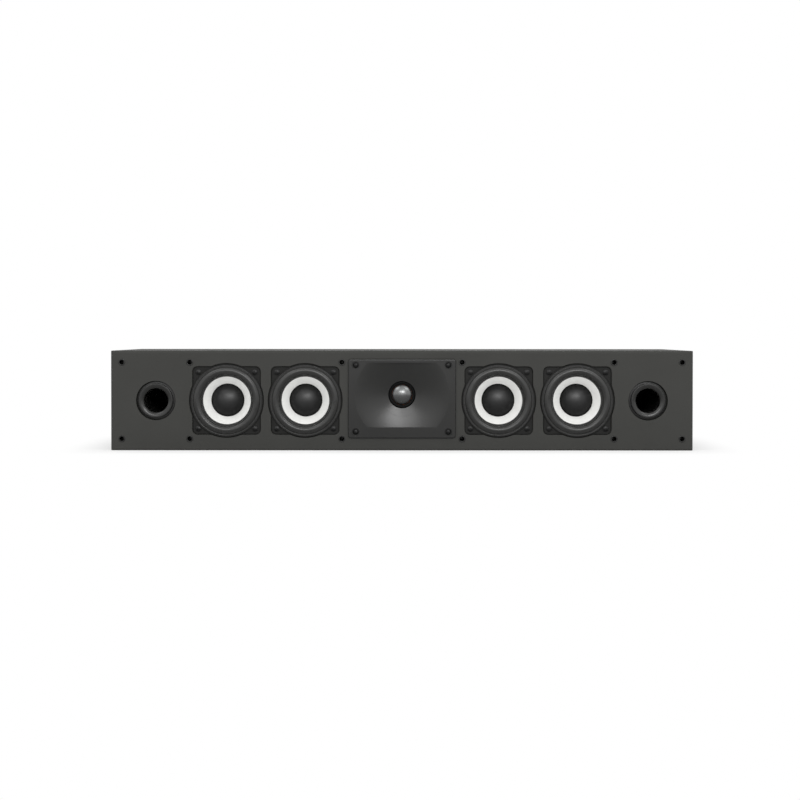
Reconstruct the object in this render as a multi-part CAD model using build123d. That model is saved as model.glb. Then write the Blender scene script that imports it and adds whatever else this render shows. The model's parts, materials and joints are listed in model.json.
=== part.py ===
from build123d import *
import math
import os

# Slim centre-channel loudspeaker: a wide vinyl-wrapped cabinet with four small woofers,
# a dome tweeter in a shallow horn, two bass ports and a terminal cup at the back.
# Millimetres. X is to the right seen from the front, the front faces -Y and Z is up.
# The origin is under the middle of the whole part, on the surface that it stands on.

# Cabinet
CABINET_WIDTH = 595.0
CABINET_HEIGHT = 102.0
CABINET_DEPTH = 171.0
SIDE_WALL = 12.0
BAFFLE = 15.0
BACK_PANEL = 12.0
BAFFLE_ROUND = 2.5
WRAP_ROUND = 0.8

# Window braces between the tweeter and the inner woofers
BRACE = 12.0
BRACE_RIM = 20.0
BRACE_CORNER = 12.0
BRACE_CLEARANCE = 3.0

# Layout along the baffle
INNER_GAP = 6.6
WOOFER_GAP = 5.8
WAVEGUIDE_RISE = 2.0
REBATE_GAP = 0.8
REBATE_BEVEL = 0.5

# Grille peg sockets
PEG_SIDE = 3.4
PEG_RISE = 5.0
PEG_END_MARGIN = 11.3
PEG_BORE_R = 2.4
PEG_BORE_DEPTH = 9.0
PEG_LEAD = 0.25
PEG_TUBE_R = 3.0
PEG_RIM_R = 3.6
PEG_RIM = 0.5
PEG_FLOOR = 2.0

# Woofer flange and basket
FLANGE_R = 37.3
FLANGE_SQUARE = 68.2
FLANGE_CORNER = 4.5
FLANGE = 3.6
FLANGE_RIM = 0.7
FLANGE_BEVEL = 0.4
EAR_DROP = 1.8
SEAT_DEPTH = 1.6
GASKET = 1.0
FRAME_STEP = 4.1
CUTOUT_CLEARANCE = 0.8
FRAME_WALL = 1.4
FRAME_NECK = 7.0
SHELF_R = 28.0
SHELF_WIDTH = 5.6
SPIDER_DROP = 2.9
CUP_FALL = 7.8
CUP_FLOOR_R = 13.0
WINDOWS = 4
WINDOW_WIDTH = 25.0

# Woofer surround, cone and dust cap
RUBBER = 0.8
ROLL_R = 4.2
ROLL_CREST = 2.0
GLUE_LIP = 1.8
SEAT_CLEARANCE = 0.2
CONE_SET_BACK = 5.0
CONE_ANGLE = 45.0
CONE_PAPER = 0.6
CAP_R = 16.7
CAP_RISE = 7.0
CAP_WALL = 0.6
CAP_SKIRT = 1.0

# Woofer spider, coil and magnet
COIL_R = 9.9
FORMER = 0.25
FORMER_STICK = 2.0
WINDING = 0.45
WINDING_LENGTH = 8.0
FORMER_TAIL = 0.5
COIL_GAP = 0.55
POLE_GAP = 0.45
SPIDER_CLOTH = 0.5
SPIDER_WAVE = 1.0
SPIDER_WAVES = 3
SPIDER_COLLAR = 1.1
TOP_PLATE_R = 27.0
TOP_PLATE = 3.5
MAGNET_R = 30.0
MAGNET_HOLE_R = 13.5
MAGNET = 11.0
YOKE_R = 27.0
YOKE = 4.0
VENT_R = 3.0

# Terminal tags on the drivers
TAG_WIDTH = 12.0
TAG_DEPTH = 5.5
TAG = 3.2

# Waveguide
PLATE_WIDTH = 110.0
PLATE_HEIGHT = 81.0
PLATE_CORNER = 3.0
PLATE_GAP = 0.15
PLATE_SET = 3.0
PLATE_PROUD = 1.5
PLATE_ROUND = 1.2
MOUTH_R = 48.25
MOUTH_HEIGHT = 66.0
MOUTH_RISE = 3.8
HORN_DEPTH = 6.5
HORN_CURVE = 1.4
HORN_LEVELS = 8
THROAT_R = 14.0
THROAT_DISC_R = 28.0
THROAT_DISC = 4.5
THROAT_DISC_CLEARANCE = 1.0
THROAT_DROP = 3.0
THROAT_STEP = 0.3
QUARTER_TURN = 90
BEVEL_ANGLE = 45

# Tweeter dome, coil and magnet
DOME_R = 10.2
DOME_RISE = 4.0
DOME_WALL = 0.4
DOME_CLOTH = 0.5
DOME_ROLL = 1.1
DOME_ROLL_WIDTH = 2.6
DOME_LIP = 0.9
DOME_RING_R = 17.0
DOME_RING_CLEARANCE = 0.2
T_FORMER = 0.2
T_WINDING = 0.4
T_WINDING_LENGTH = 4.0
T_WINDING_DROP = 1.0
T_COIL_GAP = 0.5
T_POLE_GAP = 0.4
T_PLATE_R = 22.5
T_PLATE = 3.5
T_MAGNET_R = 26.0
T_MAGNET_HOLE_R = 13.5
T_MAGNET = 8.0
T_YOKE_R = 24.0
T_YOKE = 3.5
T_VENT_R = 2.5

# Bass ports
PORT_BORE_R = 12.3
PORT_WALL = 2.0
PORT_LENGTH = 92.0
PORT_FLANGE_R = 19.4
PORT_FLANGE = 2.0
PORT_GROOVE = 4.0
PORT_PROUD = 0.3
PORT_MOUTH_R = 16.6
PORT_LIP = 0.8
PORT_FLARE = 2.2
PORT_TAIL_R = 15.0
PORT_TAIL = 5.0
PORT_EDGE = 0.4
PORT_SHOULDER = 3.6
PORT_CLEARANCE = 0.4

# Terminal cup on the back panel
CUP_PLATE_WIDTH = 98.0
CUP_PLATE_MARGIN = 2.0
CUP_PLATE_CORNER = 7.0
CUP_PLATE = 2.5
CUP_PLATE_BEVEL = 0.8
CUP_RIM = 11.0
CUP_CORNER = 7.0
CUP_DEPTH = 22.0
CUP_DRAFT = 4.0
CUP_WALL = 2.0
CUP_CLEARANCE = 0.5
BOSS_R = 7.0
BOSS = 2.0
CUP_SCREW_INSET = 4.5

# Binding posts
POST_SPACING = 19.05
STUD_R = 3.0
STUD_LENGTH = 12.0
STUD_TAIL = 1.2
BANANA_R = 2.05
BANANA_DEPTH = 9.0
WIRE_HOLE_R = 1.2
WIRE_HOLE_RISE = 1.6
THREAD_CLEARANCE = 0.06
INSERT_R = 4.6
INSERT_LENGTH = 9.0
INSERT_CLEARANCE = 0.06
POST_CAP_R = 6.4
POST_CAP_LENGTH = 15.0
POST_CAP_END = 1.5
POST_CAP_HOLE_R = 2.5
POST_CAP_FLUTES = 12
POST_CAP_FLUTE_R = 0.9
POST_CAP_BEVEL = 0.6
POST_CAP_LIFT = 0.1
NUT_FLATS = 10.0
NUT = 4.0

# Crossover board behind the cup
BOARD_MARGIN = 2.0
BOARD_CORNER = 2.0
BOARD = 1.6
INDUCTOR_R = 10.5
INDUCTOR_HOLE_R = 4.0
INDUCTOR_LENGTH = 14.0
INDUCTOR_INSET = 12.0
CAPACITOR_R = 6.0
CAPACITOR_LENGTH = 22.0
CAPACITOR_INSET = 9.0
RESISTOR_LENGTH = 22.0
RESISTOR_SIDE = 9.0
RESISTOR_INSET = 7.5

# Screws, one shank for all and two sizes of head
SCREW_R = 1.75
SCREW_CLEARANCE = 0.15
SCREW_HEAD_R = 2.8
SCREW_HEAD = 1.6
SCREW_LENGTH = 11.0
SCREW_INSET = 5.2
PLATE_SCREW_INSET_X = 7.7
PLATE_SCREW_INSET_Z = 6.4
PLATE_SCREW_BORE_R = 4.0
PLATE_SCREW_SINK = 3.4

# Damping wadding against the back panel
WADDING = 30.0
WADDING_MARGIN = 3.0
WADDING_ROUND = 8.0

# Where things lie
PROUD_FRONT = max(ROLL_CREST, PLATE_PROUD, PORT_PROUD)
PROUD_BACK = CUP_PLATE + SCREW_HEAD
FRONT_Y = (PROUD_FRONT - PROUD_BACK - CABINET_DEPTH) / 2
BACK_Y = FRONT_Y + CABINET_DEPTH
MIDDLE_Z = CABINET_HEIGHT / 2
INSIDE_WIDTH = CABINET_WIDTH - 2 * SIDE_WALL
INSIDE_HEIGHT = CABINET_HEIGHT - 2 * SIDE_WALL
INSIDE_FRONT_Y = FRONT_Y + BAFFLE
INSIDE_BACK_Y = BACK_Y - BACK_PANEL
INSIDE_DEPTH = INSIDE_BACK_Y - INSIDE_FRONT_Y
CUP_PLATE_HEIGHT = INSIDE_HEIGHT - 2 * CUP_PLATE_MARGIN
CUP_WIDTH = CUP_PLATE_WIDTH - 2 * CUP_RIM
CUP_HEIGHT = CUP_PLATE_HEIGHT - 2 * CUP_RIM

INNER_WOOFER_X = PLATE_WIDTH / 2 + INNER_GAP + FLANGE_R
OUTER_WOOFER_X = INNER_WOOFER_X + 2 * FLANGE_R + WOOFER_GAP
WOOFER_X = [-OUTER_WOOFER_X, -INNER_WOOFER_X, INNER_WOOFER_X, OUTER_WOOFER_X]
PLATE_Z = MIDDLE_Z + WAVEGUIDE_RISE
HORN_Z = PLATE_Z + MOUTH_RISE

PEG_OFFSET_X = FLANGE_SQUARE / 2 + PEG_SIDE
PEG_OFFSET_Z = FLANGE_SQUARE / 2 + PEG_RISE
PEG_INNER_X = INNER_WOOFER_X - PEG_OFFSET_X
PEG_MIDDLE_X = OUTER_WOOFER_X + PEG_OFFSET_X
PEG_END_X = CABINET_WIDTH / 2 - PEG_END_MARGIN
PORT_X = (PEG_MIDDLE_X + PEG_END_X) / 2
BRACE_X = INNER_WOOFER_X - max(MAGNET_R, SHELF_R) - BRACE_CLEARANCE - BRACE / 2

# Woofer levels, minus is behind the baffle's face
SEAT_R = FLANGE_R - FLANGE_RIM
LIP_R = SEAT_R - SEAT_CLEARANCE
ROLL_MID_R = LIP_R - GLUE_LIP - ROLL_R
ROLL_Z = ROLL_CREST - ROLL_R
CONE_RIM_R = ROLL_MID_R - ROLL_R
CONE_R = CONE_RIM_R - GLUE_LIP
FRAME_R = FLANGE_R - FRAME_STEP
CUTOUT_R = FRAME_R + CUTOUT_CLEARANCE
CONE_SLOPE = math.tan(math.radians(CONE_ANGLE))
CONE_THICK = CONE_PAPER / math.cos(math.radians(CONE_ANGLE))
REBATE = FLANGE + GASKET


def cone_front(r):
    return -CONE_SET_BACK - (CONE_R - r) * CONE_SLOPE


SHELF_Z = cone_front(COIL_R) - CONE_THICK - SPIDER_DROP
CUP_FLOOR_Z = SHELF_Z - CUP_FALL
TOP_PLATE_Z = CUP_FLOOR_Z - TOP_PLATE
MAGNET_Z = TOP_PLATE_Z - MAGNET
YOKE_Z = MAGNET_Z - YOKE

# Tweeter levels
THROAT_Z = PLATE_PROUD - HORN_DEPTH
DISC_Z = THROAT_Z - THROAT_DROP
DOME_Z = DISC_Z + DOME_CLOTH
T_PLATE_Z = DISC_Z - T_PLATE
T_MAGNET_Z = T_PLATE_Z - T_MAGNET
T_YOKE_Z = T_MAGNET_Z - T_YOKE

# Terminal cup levels, plus is outwards from the back panel's face
CUP_BACK_Z = -CUP_DEPTH - CUP_WALL
BOARD_Z = CUP_BACK_Z - BOARD
NUT_Z = BOARD_Z - NUT
BOSS_Z = -CUP_DEPTH + BOSS
STUD_END_Z = BOSS_Z + STUD_LENGTH
POST_X = POST_SPACING / 2


def on_front(x, z):
    """Place on the baffle's face: local z points out of it and local y points up."""
    return Pos(x, FRONT_Y, z) * Rot(90, 0, 0)


def on_back(x, z):
    """Place on the back panel's face: local z points out of it and local y points up."""
    return Pos(x, BACK_Y, z) * Rot(0, 0, 180) * Rot(90, 0, 0)


def turned(*lines):
    """Solid of revolution about local z, from lines drawn in radius and height."""
    edges = [edge for line in lines for edge in line.edges()]
    return revolve(Plane.XZ * make_face(edges), Axis.Z)


def turned_points(*points):
    return turned(Polyline(*points, close=True))


def washer(outer, inner, bottom, top):
    return turned_points((inner, bottom), (outer, bottom), (outer, top), (inner, top))


def rod(radius, bottom, top):
    return Pos(0, 0, bottom) * Cylinder(radius, top - bottom, align=(Align.CENTER, Align.CENTER, Align.MIN))


def cap_arc(rim_r, rim_z, crest_z):
    """Round arc from a dome's rim up to its crest on the axis."""
    rise = crest_z - rim_z
    ball = (rim_r ** 2 + rise ** 2) / (2 * rise)
    half_turn = math.acos((ball - rise) / ball) / 2
    middle = (ball * math.sin(half_turn), crest_z - ball + ball * math.cos(half_turn))
    return ThreePointArc((rim_r, rim_z), middle, (0, crest_z))


def plate(width, height, corner, bottom, top):
    return Pos(0, 0, bottom) * extrude(RectangleRounded(width, height, corner), top - bottom)


def corners(half_x, half_y):
    return [(-half_x, -half_y), (half_x, -half_y), (half_x, half_y), (-half_x, half_y)]


def group(shapes):
    return Compound(children=shapes)


# Screws

def screw(sink):
    """Pan-head screw whose head sits at the foot of a bore of this depth."""
    head_top = SCREW_HEAD - sink
    return turned(
        Polyline(
            (0, head_top),
            (0, -sink - SCREW_LENGTH),
            (SCREW_R, -sink - SCREW_LENGTH + SCREW_R),
            (SCREW_R, -sink),
            (SCREW_HEAD_R, -sink),
            (SCREW_HEAD_R, head_top - SCREW_HEAD / 2),
        ),
        cap_arc(SCREW_HEAD_R, head_top - SCREW_HEAD / 2, head_top),
    )


def screw_bore(bore_r, sink, depth):
    """Cutter for a screw's clearance hole and the bore for its head."""
    return rod(bore_r, -sink, PROUD_FRONT) + rod(SCREW_R + SCREW_CLEARANCE, -depth, 0)


# Woofer

def flange_outline(grow):
    side = FLANGE_SQUARE + 2 * grow
    return Circle(FLANGE_R + grow) + RectangleRounded(side, side, FLANGE_CORNER + grow)


SCREW_SPREAD = FLANGE_SQUARE / 2 - SCREW_INSET
WOOFER_SCREWS = corners(SCREW_SPREAD, SCREW_SPREAD)


def basket():
    """Pressed frame: raised ring with lower ears, tapered wall with windows, spider shelf and magnet cup."""
    shelf_back = SHELF_Z - FRAME_WALL
    floor_top = CUP_FLOOR_Z + FRAME_WALL
    cup_r = SHELF_R - SHELF_WIDTH
    taper_foot = SHELF_Z + SPIDER_DROP
    ring = chamfer(rod(FLANGE_R, -FLANGE, 0).faces().sort_by(Axis.Z)[-1].edges(), FLANGE_BEVEL)
    body = ring + plate(FLANGE_SQUARE, FLANGE_SQUARE, FLANGE_CORNER, -FLANGE, -EAR_DROP)
    body -= rod(SEAT_R, -SEAT_DEPTH, FLANGE)
    body -= rod(FRAME_R - FRAME_WALL, -FLANGE, 0)
    body += turned_points(
        (FRAME_R, -SEAT_DEPTH),
        (FRAME_R, -FRAME_NECK),
        (SHELF_R, taper_foot),
        (SHELF_R, shelf_back),
        (cup_r, shelf_back),
        (cup_r, CUP_FLOOR_Z),
        (CUP_FLOOR_R, CUP_FLOOR_Z),
        (CUP_FLOOR_R, floor_top),
        (cup_r - FRAME_WALL, floor_top),
        (cup_r - FRAME_WALL, SHELF_Z),
        (SHELF_R - FRAME_WALL, SHELF_Z),
        (SHELF_R - FRAME_WALL, taper_foot),
        (FRAME_R - FRAME_WALL, -FRAME_NECK),
        (FRAME_R - FRAME_WALL, -SEAT_DEPTH),
    )
    window_height = -FRAME_NECK - taper_foot
    window = Box(2 * (FRAME_R - cup_r), WINDOW_WIDTH, window_height)
    window = fillet(window.edges().filter_by(Axis.X), window_height / 4)
    middle_z = (taper_foot - FRAME_NECK) / 2
    body -= [spot * Pos(0, 0, middle_z) * window for spot in PolarLocations((FRAME_R + SHELF_R) / 2, WINDOWS)]
    body -= [Pos(x, y) * rod(SCREW_R + SCREW_CLEARANCE, -FLANGE, 0) for x, y in WOOFER_SCREWS]
    return body


def gasket():
    body = Pos(0, 0, -REBATE) * extrude(flange_outline(0), GASKET)
    body -= rod(CUTOUT_R, -REBATE, 0)
    body -= [Pos(x, y) * rod(SCREW_R + SCREW_CLEARANCE, -REBATE, 0) for x, y in WOOFER_SCREWS]
    return body


def surround():
    """Half-roll of rubber from the flange's seat to the cone's rim, which lies deeper."""
    lip_top = RUBBER - SEAT_DEPTH
    lip_back = -SEAT_DEPTH
    foot_top = RUBBER - CONE_SET_BACK
    inner_roll = ROLL_R - RUBBER
    outer_start = ROLL_MID_R + math.sqrt(ROLL_R ** 2 - (lip_top - ROLL_Z) ** 2)
    inner_end = ROLL_MID_R + math.sqrt(inner_roll ** 2 - (lip_back - ROLL_Z) ** 2)
    leg_r = CONE_RIM_R + RUBBER
    return turned(
        Line((LIP_R, lip_top), (outer_start, lip_top)),
        ThreePointArc((outer_start, lip_top), (ROLL_MID_R, ROLL_CREST), (CONE_RIM_R, ROLL_Z)),
        Polyline(
            (CONE_RIM_R, ROLL_Z),
            (CONE_RIM_R, foot_top),
            (CONE_R, foot_top),
            (CONE_R, -CONE_SET_BACK),
            (leg_r, -CONE_SET_BACK),
            (leg_r, ROLL_Z),
        ),
        ThreePointArc((leg_r, ROLL_Z), (ROLL_MID_R, ROLL_CREST - RUBBER), (inner_end, lip_back)),
        Polyline((inner_end, lip_back), (LIP_R, lip_back), (LIP_R, lip_top)),
    )


def cone():
    """Straight-sided paper cone with a flat rim under the surround's inner lip."""
    rim_back = -CONE_SET_BACK - CONE_PAPER
    back_r = CONE_R + (CONE_THICK - CONE_PAPER) / CONE_SLOPE
    return turned_points(
        (COIL_R, cone_front(COIL_R)),
        (CONE_R, -CONE_SET_BACK),
        (CONE_RIM_R, -CONE_SET_BACK),
        (CONE_RIM_R, rim_back),
        (back_r, rim_back),
        (COIL_R, cone_front(COIL_R) - CONE_THICK),
    )


def dust_cap():
    """Domed cap whose skirt sits on the cone."""
    crest = cone_front(CAP_R) + CAP_RISE
    skirt_r = CAP_R - CAP_SKIRT
    return turned(
        cap_arc(CAP_R, cone_front(CAP_R), crest),
        Line((0, crest), (0, crest - CAP_WALL)),
        cap_arc(skirt_r, cone_front(skirt_r), crest - CAP_WALL),
        Line((skirt_r, cone_front(skirt_r)), (CAP_R, cone_front(CAP_R))),
    )


def spider():
    """Corrugated cloth disc from the basket's shelf to the coil former."""
    outer_r = SHELF_R - FRAME_WALL - SEAT_CLEARANCE
    wave_end = SHELF_R - SHELF_WIDTH - FRAME_WALL - SPIDER_WAVE
    wave_start = COIL_R + SPIDER_COLLAR
    level = SHELF_Z
    steps = 2 * SPIDER_WAVES
    pitch = (wave_end - wave_start) / steps
    waves = [
        (wave_start + pitch * (i + 0.5), level + (SPIDER_WAVE if i % 2 == 0 else -SPIDER_WAVE))
        for i in range(steps)
    ]
    under = [(COIL_R, level), (wave_start, level), *waves, (wave_end, level), (outer_r, level)]
    over = [(r, z + SPIDER_CLOTH) for r, z in reversed(under)]
    return turned_points(*under, *over)


def voice_coil():
    former_top = cone_front(COIL_R) + FORMER_STICK
    winding_middle = (CUP_FLOOR_Z + TOP_PLATE_Z) / 2
    top = winding_middle + WINDING_LENGTH / 2
    bottom = winding_middle - WINDING_LENGTH / 2
    return turned_points(
        (COIL_R - FORMER, former_top),
        (COIL_R, former_top),
        (COIL_R, top),
        (COIL_R + WINDING, top),
        (COIL_R + WINDING, bottom),
        (COIL_R, bottom),
        (COIL_R, bottom - FORMER_TAIL),
        (COIL_R - FORMER, bottom - FORMER_TAIL),
    )


def top_plate():
    return washer(TOP_PLATE_R, COIL_R + WINDING + COIL_GAP, TOP_PLATE_Z, CUP_FLOOR_Z)


def magnet():
    return washer(MAGNET_R, MAGNET_HOLE_R, MAGNET_Z, TOP_PLATE_Z)


def yoke():
    """Back plate and vented pole in one piece."""
    pole_r = COIL_R - FORMER - POLE_GAP
    return turned_points(
        (VENT_R, YOKE_Z),
        (YOKE_R, YOKE_Z),
        (YOKE_R, MAGNET_Z),
        (pole_r, MAGNET_Z),
        (pole_r, CUP_FLOOR_Z),
        (VENT_R, CUP_FLOOR_Z),
    )


def tag(inner_r, seat_z):
    """Terminal tag under a driver, on the back of its frame."""
    block = Box(TAG_WIDTH, TAG_DEPTH, TAG, align=(Align.CENTER, Align.MAX, Align.MAX))
    return Pos(0, -inner_r, seat_z) * block


def woofer_cutter():
    """What the baffle loses for one woofer: rebate, opening and screw holes."""
    cut = Pos(0, 0, -REBATE) * extrude(flange_outline(REBATE_GAP), REBATE + PROUD_FRONT)
    cut += rod(CUTOUT_R, -BAFFLE, 0)
    depth = EAR_DROP + SCREW_LENGTH
    cut += [Pos(x, y) * rod(SCREW_R, -depth, 0) for x, y in WOOFER_SCREWS]
    grow = REBATE_GAP + REBATE_BEVEL
    side = FLANGE_SQUARE + 2 * grow
    cut += turned_points(
        (0, 0), (FLANGE_R + grow, 0), (FLANGE_R + REBATE_GAP, -REBATE_BEVEL), (0, -REBATE_BEVEL)
    )
    cut += extrude(RectangleRounded(side, side, FLANGE_CORNER + grow), -REBATE_BEVEL, taper=BEVEL_ANGLE)
    return cut


# Tweeter, measured from the horn's axis

def horn():
    """Shallow round dish down to the throat, steepest there, and cut off straight above and below."""
    curve = []
    for i in range(HORN_LEVELS):
        inward = i / (HORN_LEVELS - 1)
        curve.append((MOUTH_R + (THROAT_R - MOUTH_R) * inward, PLATE_PROUD - HORN_DEPTH * inward ** HORN_CURVE))
    above = PLATE_PROUD + PLATE_ROUND
    dish = turned(
        Spline(*curve),
        Polyline(curve[-1], (0, THROAT_Z), (0, above), (MOUTH_R, above), curve[0]),
    )
    return dish & Box(2 * MOUTH_R, MOUTH_HEIGHT, 2 * (HORN_DEPTH + above))


PLATE_SCREWS = corners(PLATE_WIDTH / 2 - PLATE_SCREW_INSET_X, PLATE_HEIGHT / 2 - PLATE_SCREW_INSET_Z)


def waveguide():
    """Moulded plate with the horn, and a disc behind the throat that carries the motor."""
    face = plate(PLATE_WIDTH, PLATE_HEIGHT, PLATE_CORNER, -PLATE_SET, PLATE_PROUD)
    face = fillet(face.faces().sort_by(Axis.Z)[-1].edges(), PLATE_ROUND)
    face -= [Pos(x, y) * screw_bore(PLATE_SCREW_BORE_R, PLATE_SCREW_SINK - PLATE_PROUD, PLATE_SET)
             for x, y in PLATE_SCREWS]
    body = Pos(0, -MOUTH_RISE) * face + rod(THROAT_DISC_R, DISC_Z, DISC_Z + THROAT_DISC)
    body -= horn()
    body -= rod(THROAT_R + THROAT_STEP, DISC_Z, THROAT_Z)
    body -= rod(DOME_RING_R + DOME_RING_CLEARANCE, DISC_Z, DOME_Z + DOME_RING_CLEARANCE)
    return body


def waveguide_cutter():
    """What the baffle loses for the waveguide, from the plate's middle."""
    grow = PLATE_GAP
    cut = plate(PLATE_WIDTH + 2 * grow, PLATE_HEIGHT + 2 * grow, PLATE_CORNER + grow, -PLATE_SET, PROUD_FRONT)
    cut += Pos(0, MOUTH_RISE) * rod(THROAT_DISC_R + THROAT_DISC_CLEARANCE, -BAFFLE, 0)
    depth = PLATE_SCREW_SINK - PLATE_PROUD + SCREW_LENGTH
    cut += [Pos(x, y) * rod(SCREW_R, -depth, 0) for x, y in PLATE_SCREWS]
    return cut


def dome():
    crest = DOME_Z + DOME_RISE
    inner_r = DOME_R - DOME_WALL
    return turned(
        cap_arc(DOME_R, DOME_Z, crest),
        Line((0, crest), (0, crest - DOME_WALL)),
        cap_arc(inner_r, DOME_Z, crest - DOME_WALL),
        Line((inner_r, DOME_Z), (DOME_R, DOME_Z)),
    )


def dome_surround():
    """Thin cloth roll from the dome's foot to a flat ring held under the throat."""
    roll_start = DOME_R + DOME_LIP
    roll_end = roll_start + DOME_ROLL_WIDTH
    roll_middle = (roll_start + roll_end) / 2
    back = DOME_Z - DOME_CLOTH
    return turned(
        Line((DOME_R, DOME_Z), (roll_start, DOME_Z)),
        ThreePointArc((roll_start, DOME_Z), (roll_middle, DOME_Z + DOME_ROLL), (roll_end, DOME_Z)),
        Polyline((roll_end, DOME_Z), (DOME_RING_R, DOME_Z), (DOME_RING_R, back), (roll_end, back)),
        ThreePointArc((roll_end, back), (roll_middle, back + DOME_ROLL), (roll_start, back)),
        Polyline((roll_start, back), (DOME_R, back), (DOME_R, DOME_Z)),
    )


def dome_coil():
    top = DISC_Z - T_WINDING_DROP + DOME_CLOTH
    bottom = top - T_WINDING_LENGTH
    inner_r = DOME_R - T_FORMER
    return turned_points(
        (inner_r, DOME_Z),
        (DOME_R, DOME_Z),
        (DOME_R, top),
        (DOME_R + T_WINDING, top),
        (DOME_R + T_WINDING, bottom),
        (inner_r, bottom),
    )


def tweeter_top_plate():
    return washer(T_PLATE_R, DOME_R + T_WINDING + T_COIL_GAP, T_PLATE_Z, DISC_Z)


def tweeter_magnet():
    return washer(T_MAGNET_R, T_MAGNET_HOLE_R, T_MAGNET_Z, T_PLATE_Z)


def tweeter_yoke():
    pole_r = DOME_R - T_FORMER - T_POLE_GAP
    return turned_points(
        (T_VENT_R, T_YOKE_Z),
        (T_YOKE_R, T_YOKE_Z),
        (T_YOKE_R, T_MAGNET_Z),
        (pole_r, T_MAGNET_Z),
        (pole_r, DISC_Z),
        (T_VENT_R, DISC_Z),
    )


# Ports and grille peg sockets

PORT_SEAT = PORT_GROOVE + PORT_FLANGE


def port():
    """Tube flared at both ends, with a lip at the face and a flange that sits deeper, behind a groove."""
    tube_r = PORT_BORE_R + PORT_WALL
    lip_r = PORT_MOUTH_R + PORT_LIP
    tail_top = -PORT_LENGTH + PORT_TAIL
    mouth = EllipticalCenterArc(
        (PORT_MOUTH_R, -PORT_FLARE),
        PORT_MOUTH_R - PORT_BORE_R,
        PORT_FLARE + PORT_PROUD,
        QUARTER_TURN,
        arc_size=QUARTER_TURN,
    )
    tail = EllipticalCenterArc(
        (PORT_TAIL_R, tail_top), PORT_TAIL_R - PORT_BORE_R, PORT_TAIL, 2 * QUARTER_TURN, arc_size=QUARTER_TURN
    )
    outside = Polyline(
        (PORT_TAIL_R, -PORT_LENGTH),
        (PORT_TAIL_R + PORT_WALL, -PORT_LENGTH),
        (PORT_TAIL_R + PORT_WALL, -PORT_LENGTH + PORT_WALL),
        (tube_r, tail_top),
        (tube_r, -PORT_SEAT - PORT_WALL),
        (PORT_FLANGE_R - PORT_SHOULDER, -PORT_SEAT),
        (PORT_FLANGE_R, -PORT_SEAT),
        (PORT_FLANGE_R, -PORT_GROOVE),
        (lip_r, -PORT_GROOVE),
        (lip_r, PORT_PROUD - PORT_EDGE),
        (lip_r - PORT_EDGE, PORT_PROUD),
        (PORT_MOUTH_R, PORT_PROUD),
    )
    bore = Line((PORT_BORE_R, -PORT_FLARE), (PORT_BORE_R, tail_top))
    return turned(mouth, bore, tail, outside)


def port_cutter():
    hole_r = max(PORT_FLANGE_R - PORT_SHOULDER, PORT_TAIL_R + PORT_WALL) + PORT_CLEARANCE
    cut = rod(PORT_FLANGE_R + REBATE_GAP, -PORT_SEAT, PROUD_FRONT)
    return cut + rod(hole_r, -BAFFLE, 0)


PEG_SPOTS = [
    (side * x, MIDDLE_Z + row * PEG_OFFSET_Z)
    for x in (PEG_END_X, PEG_MIDDLE_X, PEG_INNER_X)
    for side in (-1, 1)
    for row in (-1, 1)
]


def peg_socket():
    """Blind plastic socket that the grille's pegs push into."""
    foot = PEG_FLOOR - BAFFLE
    return turned_points(
        (0, foot),
        (PEG_TUBE_R, foot),
        (PEG_TUBE_R, 0),
        (PEG_RIM_R, 0),
        (PEG_RIM_R - PEG_RIM / 2, PEG_RIM),
        (PEG_BORE_R + PEG_LEAD, PEG_RIM),
        (PEG_BORE_R, PEG_RIM - PEG_LEAD),
        (PEG_BORE_R, PEG_RIM - PEG_BORE_DEPTH),
        (0, PEG_RIM - PEG_BORE_DEPTH),
    )


# Terminal cup, posts and crossover, measured from the back panel's face

CUP_SCREWS = corners(CUP_PLATE_WIDTH / 2 - CUP_SCREW_INSET, CUP_PLATE_HEIGHT / 2 - CUP_SCREW_INSET)
RED_SIDE = -1
BLACK_SIDE = 1


def terminal_cup():
    """Moulded cup let into the back panel, with two bosses for the posts."""
    body = plate(CUP_PLATE_WIDTH, CUP_PLATE_HEIGHT, CUP_PLATE_CORNER, 0, CUP_PLATE)
    body = chamfer(body.faces().sort_by(Axis.Z)[-1].edges(), CUP_PLATE_BEVEL)
    tub_width = CUP_WIDTH + 2 * CUP_WALL
    tub_height = CUP_HEIGHT + 2 * CUP_WALL
    body += plate(tub_width, tub_height, CUP_CORNER + CUP_WALL, CUP_BACK_Z, CUP_PLATE / 2)
    body -= extrude(
        Pos(0, 0, CUP_PLATE) * RectangleRounded(CUP_WIDTH, CUP_HEIGHT, CUP_CORNER),
        -CUP_DEPTH - CUP_PLATE,
        taper=CUP_DRAFT,
    )
    for x in (-POST_X, POST_X):
        body += Pos(x) * rod(BOSS_R, -CUP_DEPTH, BOSS_Z)
        body -= Pos(x) * rod(STUD_R, CUP_BACK_Z, BOSS_Z)
    body -= [Pos(x, y) * rod(SCREW_R + SCREW_CLEARANCE, 0, CUP_PLATE) for x, y in CUP_SCREWS]
    return body


def cup_cutter():
    """What the back panel loses for the terminal cup."""
    grow = CUP_WALL + CUP_CLEARANCE
    cut = plate(CUP_WIDTH + 2 * grow, CUP_HEIGHT + 2 * grow, CUP_CORNER + grow, -BACK_PANEL, 0)
    depth = SCREW_LENGTH - CUP_PLATE
    return cut + [Pos(x, y) * rod(SCREW_R, -depth, 0) for x, y in CUP_SCREWS]


def stud():
    """Threaded post with a socket for a plug and a cross hole for a bare wire."""
    body = rod(STUD_R, NUT_Z - STUD_TAIL, STUD_END_Z)
    body -= rod(BANANA_R, STUD_END_Z - BANANA_DEPTH, STUD_END_Z)
    return body - Pos(0, 0, BOSS_Z + WIRE_HOLE_RISE) * Rot(0, 90, 0) * Cylinder(WIRE_HOLE_R, 4 * STUD_R)


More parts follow.
